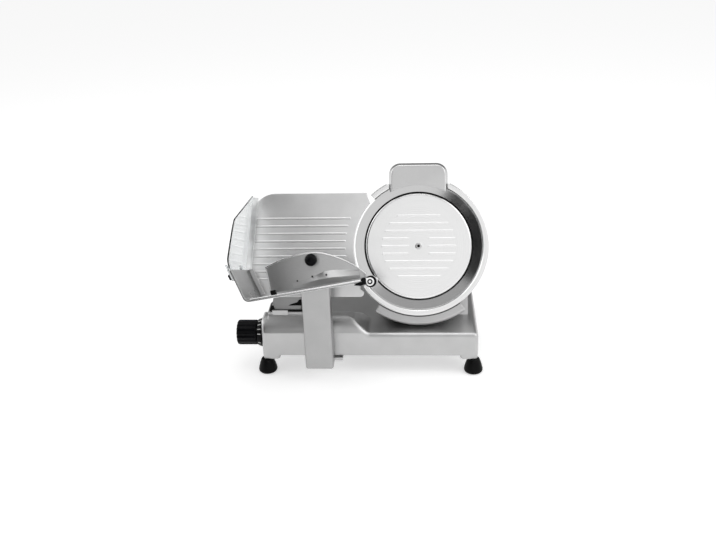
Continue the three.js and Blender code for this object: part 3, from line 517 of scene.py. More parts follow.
def sharpener_hood():
    """Hood with round shoulders over the stones, on a sleeve behind it."""
    half, foot, top, corner, wall, back, face = 51, 60, 144, 20, 3, -11.5, 7
    slant_in, slant_deep = 4.4, 9.2
    outline = ([(half, foot)] + arc(corner, 0, 90, 16, (half - corner, top - corner))
               + arc(corner, 90, 180, 16, (corner - half, top - corner)) + [(-half, foot)])
    bm = plate(outline, back, face - slant_deep)
    front = max((f for f in bm.faces if f.normal.z > 0.9), key=lambda f: f.calc_area())
    bmesh.ops.inset_region(bm, faces=[front], thickness=slant_in, depth=slant_deep)
    soften(bm, 1.6, 4, 20, over(face - slant_deep - 0.1))
    inside = plate(corners_of(slant_in + 1 - half, 50, half - slant_in - 1, top - slant_in - 1, corner - 6, 8),
                   back + wall, face - wall)
    mouth = pin(105, -20, 20, 160)
    blade_room = pin(111.5, -20, 4, 128)
    stem_holes = [moved(pin(3.3, -14, -7, 24), at(x, STONE_Y)) for x in (-STONE_X, STONE_X)]
    sleeve = moved(tube(6.3, 10, 116, 138, 40), POST_AXIS)
    bridge = soften(bar(-8, 8, 124, 138, -29, -11), 1.5)
    hood = cut(bm, inside, mouth, blade_room, *stem_holes)
    place(together(hood, sleeve, bridge), "sharpener_hood", LEANING, HOUSING, "sharpener", "sharpener_housing")


sharpener_hood()


# Gauge plate

def gauge_plate():
    """Thick ribbed plate; its right edge follows the blade and its top left corner is broad and round."""
    left, top, bottom, corner, small = -294, 93.5, -88.4, 45, 10
    outline = (arc(small, 180, 270, 8, (left + small, bottom + small)) + arc(7, -90, 0, 6, (-102, bottom + 7))
               + [(-95, -79), (-101, -75), (-101, -58)] + arc(112.5, 209, 138, 40) + [(-87.5, 84), (-89, top)]
               + arc(corner, 90, 180, 20, (left + corner, top - corner)))
    bm = soften(plate(outline, -5, 0), 1.3, where=level)
    top_rib, blade_room = 48.9, 127
    heights = [top_rib - i * RIB_PITCH for i in range(RIBS)]
    ribs = [rib(left + 5, -sqrt(blade_room ** 2 - y ** 2), y, -1, 1.3) for y in heights]
    place(together(bm, *ribs), "ribbed_gauge_plate", LEANING, PLATE, "gauge", "gauge_plate")


gauge_plate()


# Base casting

BASE_LEFT, BASE_RIGHT, BASE_FRONT, BASE_REAR, BASE_BOTTOM, DECK = -275, 102.5, 8, 262, 34, 76
SLOPE_FOOT, SLOPE_TOP = -87, -117
BARREL_REAR, ROLL_Y, ROLL_Z, ROLL_RADIUS, ROLL_FALL, FRONT_RIM = 75, 38.3, 69.6, 31, radians(30), 8
SEAL_SLOT = (-258, -202, 35, 63)
CASTING_WALL, PAD = 4, 31


def barrel_section(z):
    """Front and rear of the barrel at a height: a roll in front that falls away in a straight line behind."""
    half = sqrt(ROLL_RADIUS ** 2 - (z - ROLL_Z) ** 2)
    crest_y, crest_z = ROLL_Y + ROLL_RADIUS * sin(ROLL_FALL), ROLL_Z + ROLL_RADIUS * cos(ROLL_FALL)
    rear = ROLL_Y + half if z > crest_z else crest_y + (crest_z - z) / tan(ROLL_FALL)
    return max(BASE_FRONT, ROLL_Y - half), min(BARREL_REAR, rear)


def base_shell():
    """Low body and barrel in one wall; the barrel's right end slopes to the deck."""
    steps = [ROLL_Z + ROLL_RADIUS * sin(radians(angle)) for angle in (12, *range(17, 78, 6), 82)]
    top = steps[-1]
    bm = bar(BASE_LEFT, BASE_RIGHT, BASE_FRONT, BASE_REAR, BASE_BOTTOM, DECK)
    split(bm, (SLOPE_FOOT, 0, 0), (1, 0, 0))
    split(bm, (0, BARREL_REAR, 0), (0, 1, 0))
    footprint = [f for f in bm.faces if f.normal.z > 0.9 and f.calc_center_median().x < SLOPE_FOOT
                 and f.calc_center_median().y < BARREL_REAR]
    risen = bmesh.ops.extrude_face_region(bm, geom=footprint)["geom"]
    bmesh.ops.delete(bm, geom=footprint, context="FACES_ONLY")
    roof = [v for v in risen if isinstance(v, bmesh.types.BMVert)]
    bmesh.ops.translate(bm, vec=(0, 0, top - DECK), verts=roof)
    bmesh.ops.translate(bm, vec=(SLOPE_TOP - SLOPE_FOOT, 0, 0), verts=[v for v in roof if v.co.x > SLOPE_TOP])
    bmesh.ops.dissolve_limit(bm, angle_limit=radians(1), verts=bm.verts, edges=bm.edges)
    bmesh.ops.recalc_face_normals(bm, faces=bm.faces)

    def outer(edge):
        on_roof = all(v.co.z > top - 0.1 for v in edge.verts) and along(edge, 0)
        return edge.is_convex and max(v.co.z for v in edge.verts) > BASE_BOTTOM + 1 and not on_roof
    soften(bm, FRONT_RIM, 6, 20, outer)
    soften(bm, 3, 4, 25, lambda e: not e.is_convex)
    for z in steps[:-1]:
        split(bm, (0, 0, z), (0, 0, 1))
    for v in bm.verts:
        if v.co.z > DECK + 0.05 and v.co.y < BARREL_REAR + 0.05:
            front, rear = barrel_section(min(v.co.z, top))
            v.co.y = front + (v.co.y - BASE_FRONT) / (BARREL_REAR - BASE_FRONT) * (rear - front)
    room = bar(BASE_LEFT + CASTING_WALL, BASE_RIGHT - CASTING_WALL, BASE_FRONT + CASTING_WALL,
               BASE_REAR - CASTING_WALL, BASE_BOTTOM - 5, DECK - CASTING_WALL)
    barrel_room = bar(BASE_LEFT + 5, SLOPE_TOP - 6, 20, 64, DECK - 10, 86)
    slot = bar(*SEAL_SLOT, DECK + 6, 115)
    relief_slot = bar(SEAL_SLOT[0], SEAL_SLOT[1], SEAL_SLOT[2] - 1.5, SEAL_SLOT[2] + 1, DECK + 6, 98)
    shaft_hole = moved(pin(6.3, BASE_LEFT - 5, BASE_LEFT + 8, 32), ALONG_X @ DIAL_AXIS)
    button_holes = [moved(pin(8.4, -BASE_REAR - 8, -BASE_REAR + 12, 40), SWITCH_AXIS @ at(x, 0))
                    for x in (-SWITCH_BUTTON_X, SWITCH_BUTTON_X)]
    return cut(bm, room, barrel_room, slot, relief_slot, shaft_hole, *button_holes)


def seal_seat():
    """Flat seat on the barrel round the gauge's slot, with a low lip before the seal."""
    section = [(22, 95.6), (54, 93), (68, 85), (68, 108), (31, 108), (30.8, 104.5), (30, 102), (28, 99.7),
               (25, 98)]
    seat = moved(plate(section, -264, -196), ALONG_X)
    soften(seat, 1.4, 3, 60)
    lip = soften(bar(-256, -228, 30.1, 31.8, 99, 111.4), 0.7, 3)
    return together(cut(seat, bar(*SEAL_SLOT, 80, 115)), lip)


place(together(base_shell(), seal_seat()), "base_shell", UPRIGHT, CAST, "root", "base_casting")


def foot_bosses():
    """Square pads under the casting's corners that carry the feet."""
    gap, low, high = 0.2, 26, 38
    pads = []
    for x0 in (BASE_LEFT, BASE_RIGHT - PAD):
        for y0 in (BASE_FRONT, BASE_REAR - PAD):
            outline = corners_of(x0 + gap, y0 + gap, x0 + PAD - gap, y0 + PAD - gap, 7, 6)
            pads.append(soften(plate(outline, low, high), 1.5, 2, where=under(low + 1)))
    place(together(*pads), "foot_bosses", UPRIGHT, CAST, "root")


def blade_cradle():
    """Crescent of the casting that carries the ring guard, and the wall behind the blade."""
    outer, inner, low, high, front, wall_front = 138, 122.5, 236, 306, -4, -56
    crescent = plate(arc(outer, low, high, 48) + arc(inner, high, low, 48), wall_front - 1, front)
    soften(crescent, 6, 5, 40, lambda e: all(v.co.z > front - 0.1 and v.co.xy.length > outer - 1 for v in e.verts),
           False)
    soften(crescent, 1.6, 2, 40)
    web = plate(arc(outer - 1, low + 1, high - 1, 30) + [(70, -60), (-60, -60)], wall_front - 1, -50)
    outline = ([(BULKHEAD_LEFT, -178), (BULKHEAD_RIGHT, -178), (BULKHEAD_RIGHT, 0)]
               + arc(BULKHEAD_RADIUS, 0, 123, 48)
               + [(BULKHEAD_LEFT, sqrt(BULKHEAD_RADIUS ** 2 - BULKHEAD_LEFT ** 2))])
    wall = soften(plate(outline, BULKHEAD_BACK, wall_front), 1.5, 2)
    motor_spot, guard_post_radius, guard_post_angles = at(34, -80), 108, (55, -15, -75)
    bores = [pin(9.8, -80, -40, 48), moved(pin(15, -80, -40, 48), motor_spot)]
    post = [(0, -57), (7, -57), (7, -22.3), (6, -21.3), (0, -21.3)]
    posts = [moved(turned(post, 28), polar(guard_post_radius, angle)) for angle in guard_post_angles]
    lug = cut(soften(bar(-12, 12, 86, 112, -58, -29), 2), moved(pin(6.3, 80, 120, 32), POST_AXIS))
    place(together(crescent, web, cut(wall, *bores), *posts, lug), "blade_cradle", LEANING, CAST, "root")


def feet():
    """Moulded bells with a rolled foot."""
    profile = [(0, 0), (12.5, 0), (14.8, 0.9), (16.1, 2.6), (16.5, 4.6), (16.3, 6.6), (15.3, 11), (13.9, 16),
               (12.3, 20.5), (10.9, 24), (10.1, 25.3), (9.4, 25.7), (0, 25.7)]
    lefts_and_rights, fronts_and_rears = (-268, 95), (14, 248)
    spots = [(x, y) for x in lefts_and_rights for y in fronts_and_rears]
    for number, (x, y) in enumerate(spots, 1):
        bell = moved(turned(profile, 48), at(x, y))
        place(bell, f"rubber_foot_{number}", UPRIGHT, RUBBER, "root", f"foot_{number}")


foot_bosses()
blade_cradle()
feet()


# Thickness dial

STROKES, STROKE_STEP, FIRST_STROKE = 17, 20, -160


def dial_knob():
    """Fluted grip with a dished end."""
    fluted = grip(21.6, 16, 0.6, -321, -284.3, 3.6)
    end = min(fluted.faces, key=lambda f: (round(f.normal.z, 2), -f.calc_area()))
    bmesh.ops.inset_region(fluted, faces=[end], thickness=3)
    bmesh.ops.translate(fluted, vec=(0, 0, 1.2), verts=end.verts)
    place(fluted, "fluted_dial_knob", ACROSS @ DIAL_AXIS, KNOB, "dial", "dial_knob")


def dial_collar():
    """Flared collar with white strokes round its rim."""
    rim = turned([(6, -284), (22.6, -284), (23.2, -283.6), (25.2, -278.4), (25.4, -277.6), (25.4, -276.4),
                  (6, -276.4)], 96)
    place(rim, "graduated_collar", ACROSS @ DIAL_AXIS, BLACK, "dial", "dial_collar")
    strokes = []
    for i in range(STROKES):
        stroke = plate([(23.0, -282.8), (23.65, -282.8), (25.5, -278.0), (25.5, -277), (24.6, -277)], -0.8, 0.8)
        upright = moved(stroke, Matrix.Rotation(pi / 2, 4, "X"))
        strokes.append(moved(upright, Matrix.Rotation(radians(FIRST_STROKE + i * STROKE_STEP), 4, "Z")))
    place(together(*strokes), "collar_strokes", ACROSS @ DIAL_AXIS, PAINT, "dial")


dial_knob()
dial_collar()


# Carriage: arm, tray and hand guard

TRAY_BACK, TRAY_FRONT, TRAY_RIGHT, TRAY_THICK = 10, 162, 90, 3
WALL_FOOT, WALL_TOP, BEND = -95, (-110, 52), 7
WALL_LEAN = atan2(WALL_FOOT - WALL_TOP[0], WALL_TOP[1])
BEND_CENTRE = (WALL_FOOT + BEND * (1 - sin(WALL_LEAN)) / cos(WALL_LEAN), BEND)
GUARD_TABS, TAB_WIDTH = (40, 138), 22


def carriage_arm():
    """Column with broad round front corners, cut to the slope of the tray it carries."""
    left, right, front, rear, corner, foot, top = -195, -147, -28, 2, 5, 28, 240
    column = plate(corners_of(left, front, right, rear, corner), foot, top)
    tray = IN_UPRIGHT @ TRAY
    split(column, tray @ Vector((0, -TRAY_THICK - 0.3, 0)), tray.to_3x3() @ Vector((0, 1, 0)), False)
    soften(column, 1.2, 2, 40, lambda e: not along(e, 2))
    stem_hole = moved(pin(3.3, -8, 12, 24), TRAY_LOCK_AXIS)
    place(cut(column, stem_hole), "carriage_arm_column", UPRIGHT, ARM, "carriage", "carriage_arm")


def tray_pan():
    """Bent sheet: the floor rises to the right and rolls up into the left wall, which has a flange at its rear."""
    turn = WALL_LEAN * 180 / pi - 180
    inside = [(TRAY_RIGHT, 0)] + arc(BEND, -90, turn, 12, BEND_CENTRE) + [WALL_TOP]
    outside = ([(WALL_TOP[0] - TRAY_THICK * cos(WALL_LEAN), WALL_TOP[1] - TRAY_THICK * sin(WALL_LEAN))]
               + arc(BEND + TRAY_THICK, turn, -90, 12, BEND_CENTRE) + [(TRAY_RIGHT, -TRAY_THICK)])
    pan = soften(plate(inside + outside, TRAY_BACK, TRAY_FRONT), 0.9, 3, 40)
    flange = soften(plate([(-1.5, 3), (8.5, 3)] + arc(5, 0, 90, 6, (3.5, 49)) + [(-1.5, 54)], 0, 2), 0.7, 2)
    splay = radians(-25)
    at_rear = (at(WALL_FOOT, 0, TRAY_BACK + 0.5) @ Matrix.Rotation(WALL_LEAN, 4, "Z")
               @ Matrix.Rotation(splay, 4, "Y"))
    place(together(pan, moved(flange, at_rear)), "tray_pan", TRAY, TRAY_METAL, "carriage", "tray")
    # The front lip is the tray's own sheet made lighter: a painted highlight along the rolled edge.
    lip = soften(bar(BEND_CENTRE[0], TRAY_RIGHT, -3.4, 1.8, TRAY_FRONT - 4, TRAY_FRONT), 1.9, 5)
    place(lip, "tray_lip", TRAY, POLISHED_AND_HIGHLIGHT, "carriage")
    head = soften(bar(-55, -46, 2.3, 9, 156, 162), 1.6, 4)
    shank = soften(bar(-54.6, -46.4, 0.3, 8.6, 150, 157.7), 1.2)
    place(together(head, shank), "tray_stop_peg", TRAY, RUBBER, "carriage", "tray_stop")


def hand_guard():
    """Clear panel above the wall with a frosted rear edge, held outside the wall by two tabs and black screws."""
    outline = [(12, -4), (142, -4), (166, 10), (168, 18), (156, 62), (148, 78), (12, 127)]
    panel_lean = radians(-5.9)
    upright = at(-299, -37.5) @ Matrix.Rotation(panel_lean, 4, "Z")
    sideways = Matrix(((0, 0, -1, 0), (0, 1, 0, 0), (1, 0, 0, 0), (0, 0, 0, 1)))
    panel = plate(outline, 0.2, 2.8)
    soften(panel, 9, 6, 8, lambda e: along(e, 2) and e.verts[0].co.x > 130)
    soften(panel, 0.6, 2, 40)
    on_wall = at(-298.7, -38.5) @ Matrix.Rotation(TRAY_TILT + WALL_LEAN, 4, "Z")
    tabs = [moved(soften(bar(-4, -1, -20, 8, w, w + TAB_WIDTH), 1, 2), on_wall) for w in GUARD_TABS]
    clear = together(moved(panel, upright @ sideways), *tabs)
    place(clear, "clear_hand_guard", LEANING, CLEAR, "carriage", "hand_guard")
    strip = soften(bar(-3, 9, -3, 124, 12, 15), 1.2, 3)
    place(moved(strip, upright), "frosted_guard_edge", LEANING, FROSTED, "carriage")
    for number, w in enumerate(GUARD_TABS, 1):
        head = turned([(0, 4.3), (5, 4.3), (5, 7), (4.2, 8.2), (2.4, 8.5), (0, 8.5)], 32)
        slot = bar(-6, 6, -0.6, 0.6, 7.6, 10)
        spot = on_wall @ at(0, -12, w + TAB_WIDTH / 2) @ Matrix.Rotation(-pi / 2, 4, "Y")
        screw = moved(cut(head, slot), spot)
        place(screw, f"guard_screw_{number}", LEANING, BLACK, "carriage", f"shield_screw_{number}")


def tray_lock():
    """Grip behind the arm that clamps the tray."""
    stem, neck = pin(3, -14, 9, 24), pin(6, -10, -2.3, 32)
    whole = together(stem, neck, grip(12.3, 7, 0.7, -20, -6.3, 1.6))
    place(moved(whole, TRAY_LOCK_AXIS), "tray_lock_grip", UPRIGHT, KNOB, "tray_lock", "tray_lock_knob")


carriage_arm()
tray_pan()
hand_guard()
tray_lock()


# Pusher

PUSHER_BACK, PUSHER_FRONT = 118, 121
PUSHER_BOW, BOW_START, BOW_LENGTH = 4, 20, 80
LEDGE_FOOT, LEDGE_ROOT = 4, 119
HINGE = (102, -4)
AT_HINGE = at(*HINGE)
TEETH = [(-15.2, 17), (9.8, 20), (33.1, 19)]


def curve(start, bend, end, steps):
    """Points after the start of a curve pulled towards a bend."""
    spots = []
    for i in range(1, steps + 1):
        k = i / steps
        shares = ((1 - k) ** 2, 2 * k * (1 - k), k * k)
        spots.append(tuple(sum(share * c for share, c in zip(shares, axis)) for axis in zip(start, bend, end)))
    return spots


def bowed(bm):
    """Bends the left part of a flat piece back."""
    for x in range(-56, 24, 8):
        split(bm, (x, 0, 0), (1, 0, 0))
    for v in bm.verts:
        v.co.z -= PUSHER_BOW * (max(0, BOW_START - v.co.x) / BOW_LENGTH) ** 2
    return bm


def pusher_ledge():
    """Folded ledge over the plate's foot that fades out to the left."""
    section = [(4, 119), (4, 129.4), (4.8, 130.4), (12, 132), (13.4, 131.8), (14.4, 130.8), (25, 120.8),
               (26.4, 119.6), (26.4, 119)]
    stations = [(-24, 0.09, 0.5), (-8, 0.14, 0.66), (10, 0.26, 0.86), (28, 0.55, 1), (44, 0.85, 0.96),
                (58, 1, 0.86), (72, 1, 0.74), (86, 0.95, 0.62)]

    def shaped(x, depth, height):
        """The section at this place, drawn in to shares of its depth and height."""
        return [(x, LEDGE_FOOT + (y - LEDGE_FOOT) * height, LEDGE_ROOT + (w - LEDGE_ROOT) * depth)
                for y, w in section]
    ledge = bmesh.new()
    first = end = ledge.faces.new([ledge.verts.new(spot) for spot in shaped(*stations[0])])
    for station in stations[1:]:
        grown = bmesh.ops.extrude_face_region(ledge, geom=[end])["geom"]
        if end.is_valid and end is not first:
            bmesh.ops.delete(ledge, geom=[end], context="FACES_ONLY")
        end = next(g for g in grown if isinstance(g, bmesh.types.BMFace))
        for v, spot in zip(end.verts, shaped(*station)):
            v.co = spot
    bmesh.ops.recalc_face_normals(ledge, faces=ledge.faces)
    return ledge


def pusher_plate():
    """Sheet with an arched top and a raised rim, a folded ledge over its foot, a hinge eye, and teeth behind."""
    arch = [(96, 10)] + curve((96, 10), (72, 40), (30, 56), 14) + curve((30, 56), (-12, 66), (-64, 48), 18)
    outline = [(-62, 4), (92, 4)] + arch + curve((-64, 48), (-62.5, 30), (-62, 4), 10)[:-1]
    sheet = plate(outline, PUSHER_BACK, PUSHER_FRONT)
    front = max((f for f in sheet.faces if f.normal.z > 0.9), key=lambda f: f.calc_area())
    bmesh.ops.inset_region(sheet, faces=[front], thickness=2.2)
    bmesh.ops.translate(sheet, vec=(0, 0, -0.8), verts=front.verts)
    soften(sheet, 0.7, 3, 40)
    bowed(sheet)
    # The rim strip is the pusher's own sheet made lighter: a painted highlight along the arched top.
    rim = bowed(soften(plate(arch + [(x, y - 2.5) for x, y in reversed(arch)], 120.2, 121.6), 0.6, 3, 40))
    place(rim, "pusher_rim", TRAY, POLISHED_AND_HIGHLIGHT, "pusher")
    ledge = pusher_ledge()
    eye = moved(tube(6.8, 9.3, 101.3, 134.7, 48), AT_HINGE)
    horn = soften(bar(92, 97, -1, 12, 112, 120.6), 1, 2)
    teeth = [moved(turned([(0, 107), (2.9, 118.6), (2.9, 119), (0, 119)], 20), at(*spot)) for spot in TEETH]
    place(together(sheet, ledge, eye, horn, *teeth), "pusher_sheet", TRAY, SHEET, "pusher", "pusher_plate")
    rivets = [moved(turned([(0, high - 3), (1.3, high - 3), (1.3, high - 0.4), (0.9, high), (0, high)], 20),
                    at(*spot)) for spot, high in zip(TEETH, (120.4, 122.6, 125.4))]
    place(together(*rivets), "pusher_rivets", TRAY, BLACK, "pusher")


def pusher_knob():
    """Turned ball grip."""
    profile = [(0, 118), (3, 118), (3, 121.3), (6, 121.3), (6.2, 124), (6.6, 127), (7.6, 130.4), (9, 133.4),
               (9.9, 136.6), (10, 139.4), (9.3, 142.4), (7.6, 145), (5, 146.6), (2.4, 147.2), (0, 147.3)]
    knob_spot = at(14.3, 46)
    knob = moved(turned(profile, 64), knob_spot)
    place(knob, "pusher_ball_grip", TRAY, KNOB, "pusher", "pusher_knob")


def pusher_slide():
    """Rod between two holders, and the sleeve that runs on it."""
    for name, low in (("rear", 10), ("front", 155)):
        wedge = soften(plate([(76, -5.5), (86, -8), (96, -7), (97, 3), (92, 4), (86, 0)], low, low + 7), 1.2, 3)
        place(wedge, f"rod_holder_{name}_wedge", TRAY, BLACK, "carriage")
        strap = plate([(92, -5)] + arc(6.6, -170, 110, 24, HINGE) + [(95, 3)], low + 0.4, low + 6.4)
        soften(strap, 1.1)
        socket = moved(pin(4.3, 12, 160, 32), AT_HINGE)
        place(cut(strap, socket), f"rod_holder_{name}_eye", TRAY, POLISHED_AND_HIGHLIGHT, "carriage", f"rod_holder_{name}")
    plug = turned([(0, 159.8), (4.2, 159.8), (4.2, 161.6), (3.4, 162), (0, 162)], 28)
    hexagon = plate(arc(2.3, 0, 300, 5), 160.6, 165)
    place(moved(cut(plug, hexagon), AT_HINGE), "rod_end_plug", TRAY, BLACK, "carriage")
    rod = turned([(0, 12.3), (3.6, 12.3), (4, 12.7), (4, 159.3), (3.6, 159.7), (0, 159.7)], 40)
    place(moved(rod, AT_HINGE), "pusher_slide_rod", TRAY, BAR, "carriage", "pusher_rod")
    sleeve = turned([(4.3, 98), (8.7, 98), (9.3, 98.6), (9.3, 100.4), (8.8, 101), (6.5, 101), (6.5, 135),
                     (8.8, 135), (9.3, 135.6), (9.3, 137.4), (8.7, 138), (4.3, 138)], 48)
    place(moved(sleeve, AT_HINGE), "pusher_slide_sleeve", TRAY, BLACK, "pusher_slider", "pusher_sleeve")


pusher_plate()
pusher_knob()
pusher_slide()


# Rear: motor cover, knobs, switch and gland

def motor_cover():
    """Deep shell behind the blade with a round back edge and a row of vents, cut to the deck."""
    back, skin = -132, 3
    outline = ([(BULKHEAD_LEFT, -180), (BULKHEAD_RIGHT, -180), (BULKHEAD_RIGHT, 0)]
               + arc(BULKHEAD_RADIUS, 0, 122.95, 48))
    shell = soften(plate(outline, back, BULKHEAD_BACK - 0.3), 9, 6, 40, under(back + 1))
    inner = ([(BULKHEAD_LEFT + skin, -200), (BULKHEAD_RIGHT - skin, -200), (BULKHEAD_RIGHT - skin, 0)]
             + arc(BULKHEAD_RADIUS - skin, 0, 122.1, 48))
    inside = soften(plate(inner, back + skin, BULKHEAD_BACK + 4), 6.5, 4, 40, under(back + skin + 1))
    vent_lefts = [20 + 11 * i for i in range(-2, 3)]
    vents = [plate(corners_of(x, -70, x + 6, -30, 2.9, 5), back - 8, back + 12) for x in vent_lefts]
    rod_hole = pin(4.3, back - 8, back + 12, 32)
    cover = moved(cut(shell, inside, *vents, rod_hole), IN_UPRIGHT @ LEANING)
    split(cover, (0, 0, DECK + 0.3), (0, 0, -1), False)
    place(cover, "motor_cover_shell", UPRIGHT, HOUSING, "root", "motor_cover")


def cover_tie_knob():
    """Grip on the rod that holds the blade cover."""
    knob = together(grip(14.2, 8, 0.8, -150, -137, 2), pin(9, -138, -132.3, 40))
    place(knob, "cover_tie_grip", LEANING, KNOB, "tie_knob", "cover_tie_knob")


def switch():
    """Rear plate with a dished green and a dished red button."""
    edge = soften(plate(corners_of(-32, -15, 32, 15, 5, 6), -265.8, -262.3), 1.2, where=under(-265))
    holes = [moved(pin(8.3, -270, -260, 40), at(x, 0)) for x in (-SWITCH_BUTTON_X, SWITCH_BUTTON_X)]
    place(moved(cut(edge, *holes), SWITCH_AXIS), "switch_surround", UPRIGHT, BLACK, "root", "switch_plate")
    for name, x, look in (("on", -SWITCH_BUTTON_X, GREEN), ("off", SWITCH_BUTTON_X, RED)):
        cap = turned([(0, -258.3), (8, -258.3), (8, -268.4), (7.4, -269.1), (6.4, -269.3), (3, -268.9),
                      (0, -268.8)], 48)
        place(moved(cap, SWITCH_AXIS @ at(x, 0)), f"dished_{name}_button", UPRIGHT, look, f"{name}_key",
              f"{name}_button")


def cable_gland():
    """Ridged bush, its bore open for a lead."""
    ridges = [(4, -272), (8.4, -272), (9.2, -271.2), (9.2, -269), (8.2, -268.6), (8.2, -267.6), (9.6, -267.2),
              (9.6, -265), (8.6, -264.6), (10, -264.2), (10, -262.3), (4, -262.3)]
    bush = moved(turned(ridges, 48), at(60, 0, 55) @ ALONG_Y)
    place(bush, "cable_gland_bush", UPRIGHT, BLACK, "root", "cable_gland")


motor_cover()
cover_tie_knob()
switch()
cable_gland()


# Gauge support and its seal

def gauge_support():
    """Web behind the gauge plate that goes down into the barrel, with a head on the guide rod and a rubber boot."""
    back, hem = -11.3, -103.2
    web = soften(plate([(-254, -60), (-206, -60), (-206, -124), (-236, -144), (-254, -144)], back, -5.3), 1.5)
    head = soften(bar(-254, -236, -160, -134, -40, -5.4), 1.5)
    guide_rod = at(-245, -141)
    bore = moved(pin(4.3, -60, 0, 32), guide_rod)
    skirt = soften(plate([(-252, -66), (-257.5, hem), (-206, hem), (-206, -66)], back, -5), 1, 2)
    place(together(web, cut(head, bore), skirt), "gauge_support_web", LEANING, CAST, "gauge", "gauge_support")
    boot = plate([(-229, hem), (-222, -100), (-213, -97.5), (-210, -93), (-204, -92), (-204, hem)], -9, -3.6)
    place(soften(boot, 0.8), "gauge_support_boot", LEANING, RUBBER, "gauge")


def gauge_seal():
    """Rubber frame round the slot in the barrel's roof."""
    left, right, front, rear = SEAL_SLOT
    edge = plate(corners_of(left - 3, front - 3, right + 4, rear + 3, 3, 5), 108.3, 111)
    slot = plate(corners_of(left, front, right, rear, 2, 4), 100, 120)
    seal = soften(cut(edge, slot), 0.9, 3, 40, over(110))
    place(seal, "gauge_slot_seal", UPRIGHT, RUBBER, "root", "gauge_seal")


gauge_support()
gauge_seal()


# Sharpener controls

def sharpener_controls():
    """Buttons that press the stones to the edge, and the knob that locks the housing on its post."""
    for name, x in (("sharpening", -STONE_X), ("truing", STONE_X)):
        cap = turned([(0, -36), (4.4, -35.8), (6.4, -35), (7, -33.6), (7, -28.6), (6.4, -28), (3, -28), (3, -2.3),
                      (0, -2.3)], 40)
        place(moved(cap, at(x, STONE_Y)), f"{name}_press_cap", LEANING, BLACK, f"{name}_key", f"{name}_button")
    lock = together(grip(7.9, 6, 0.6, -62, -48.3, 1.2), pin(3, -52, -47, 24))
    place(moved(lock, at(0, 127)), "sharpener_lock_grip", LEANING, KNOB, "sharpener_lock", "sharpener_lock_knob")


sharpener_controls()


# Carried-over CAD nodes

def dress_cad_nodes():
    """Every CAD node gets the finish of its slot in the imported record."""
    for carried in frame["nodes"].values():
        slot_name = carried.data.materials[0].name if carried.data.materials else "steel"
        look = NODE_FINISH.get(slot_name.split(".")[0], BAR)
        carried.data.materials.clear()
        carried.data.materials.append(look)


# Stage

WHITE = (1, 1, 1, 1)
FLOOR_SIZE = 12


def seen_level(tree, unseen, seen):
    """A strength with one value for camera, glossy and transmission rays and another for the light itself."""
    rays = tree.nodes.new("ShaderNodeLightPath")
    direct = rays.outputs["Is Camera Ray"]
    for kind in ("Is Glossy Ray", "Is Transmission Ray"):
        either = tree.nodes.new("ShaderNodeMath")
        either.operation = "MAXIMUM"
        tree.links.new(direct, either.inputs[0])
        tree.links.new(rays.outputs[kind], either.inputs[1])
        direct = either.outputs[0]
    strength = tree.nodes.new("ShaderNodeMapRange")
    strength.inputs["To Min"].default_value, strength.inputs["To Max"].default_value = unseen, seen
    tree.links.new(direct, strength.inputs["Value"])
    return strength.outputs[0]


def white_room():
    """Pale background and a pale floor that keeps a soft shadow."""
    world = bpy.data.worlds.new("white_room")
    bpy.context.scene.world = world
    world.use_nodes = True
    background = world.node_tree.nodes["Background"]
    background.inputs["Color"].default_value = WHITE
    world.node_tree.links.new(seen_level(world.node_tree, 0.5, 1.0), background.inputs["Strength"])
    paper = finish("white_paper", Base_Color=(*grey(0.86), 1), Roughness=0.9, Specular_IOR_Level=0.0,
                   Emission_Color=WHITE)
    feed(paper, "Emission Strength", seen_level(paper.node_tree, 0.0, 0.5))
    sheet("floor", Matrix.Identity(4), FLOOR_SIZE, FLOOR_SIZE, paper)


def sheet(name, where, width, height, look):
    """A flat sheet of the stage."""
    bm = bmesh.new()
    bmesh.ops.create_grid(bm, x_segments=1, y_segments=1, size=0.5)
    bmesh.ops.scale(bm, vec=(width, height, 1), verts=bm.verts)
    mesh = bpy.data.meshes.new(name)
    moved(bm, where).to_mesh(mesh)
    bm.free()
    mesh.materials.append(look)
    made = bpy.data.objects.new(name, mesh)
    bpy.context.scene.collection.objects.link(made)
    return made


def facing(spot, aim):
    """A place whose own -Z looks from the spot to the aim."""
    turn = (Vector(aim) - Vector(spot)).to_track_quat("-Z", "Y").to_matrix().to_4x4()
    return Matrix.Translation(spot) @ turn


def dark_card(name, spot, aim, width, height, brightness):
    """A studio flag that the polished metal mirrors at this brightness; nothing else sees it."""
    felt = finish(name + "_felt", Base_Color=(0, 0, 0, 1), Roughness=1.0, Specular_IOR_Level=0.0,
                  Emission_Color=WHITE, Emission_Strength=brightness)
    card = sheet(name, facing(spot, aim), width, height, felt)
    card.visible_camera = card.visible_diffuse = card.visible_shadow = card.visible_transmission = False


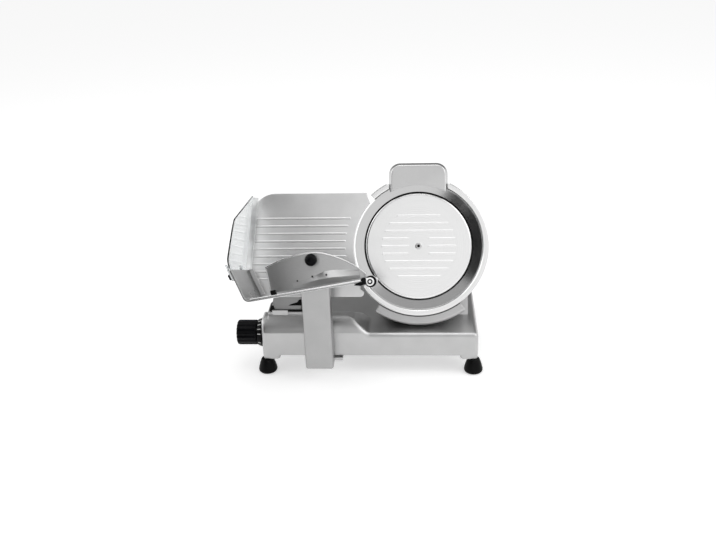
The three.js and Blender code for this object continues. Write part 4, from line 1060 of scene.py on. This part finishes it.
def softbox(name, spot, aim, size, power):
    """A square area lamp turned to the slicer."""
    lamp = bpy.data.lights.new(name, "AREA")
    lamp.shape, lamp.size, lamp.energy = "SQUARE", size, power
    made = bpy.data.objects.new(name, lamp)
    made.matrix_world = facing(spot, aim)
    bpy.context.scene.collection.objects.link(made)


def camera():
    """Places the camera so that the blade's centre falls on its pixel in the photograph."""
    back = Vector((sin(YAW) * cos(ELEVATION), -cos(YAW) * cos(ELEVATION), sin(ELEVATION)))
    sideways = Vector((cos(YAW), sin(YAW), 0))
    steep = back.cross(sideways)
    right = sideways * cos(ROLL) - steep * sin(ROLL)
    up = sideways * sin(ROLL) + steep * cos(ROLL)
    across = (BLADE_PIXEL[0] - IMAGE[0] / 2) / FOCAL
    above = (IMAGE[1] / 2 - BLADE_PIXEL[1]) / FOCAL
    spot = Vector(BLADE_SPIN["pos_m"]) + (back - right * across - up * above) * DISTANCE / 1000
    lens = bpy.data.cameras.new("photograph")
    lens.sensor_width, lens.lens = SENSOR_WIDTH, SENSOR_WIDTH * FOCAL / IMAGE[0]
    lens.clip_start, lens.clip_end = 0.05, 50
    made = bpy.data.objects.new("photograph", lens)
    made.matrix_world = Matrix((right, up, back)).transposed().to_4x4()
    made.location = spot
    bpy.context.scene.collection.objects.link(made)
    bpy.context.scene.camera = made


dress_cad_nodes()
white_room()
softbox("key_light", (1.7, -0.5, 1.6), (0, 0, 0.12), 1.4, 9)
softbox("fill_light", (-1.7, 0.1, 1.3), (0, 0, 0.12), 1.3, 6)
softbox("top_light", (0.1, -0.1, 2.3), (0, 0, 0.1), 1.4, 7)
dark_card("left_card", (-0.74, -1.05, 0.62), (0.2, 0, 0.25), 1.0, 1.25, 0.02)
dark_card("low_card", (-0.58, -1.2, 0.22), (-0.1, 0, 0.2), 0.85, 0.42, 0.03)
dark_card("high_card", (0, -1.15, 1.85), (0, 0, 0.15), 1.8, 0.8, 0.5)
dark_card("back_card", (0.05, 1.2, 0.8), (0, 0, 0.25), 2.0, 1.5, 0.22)
camera()
bpy.context.scene.view_settings.view_transform = "Standard"
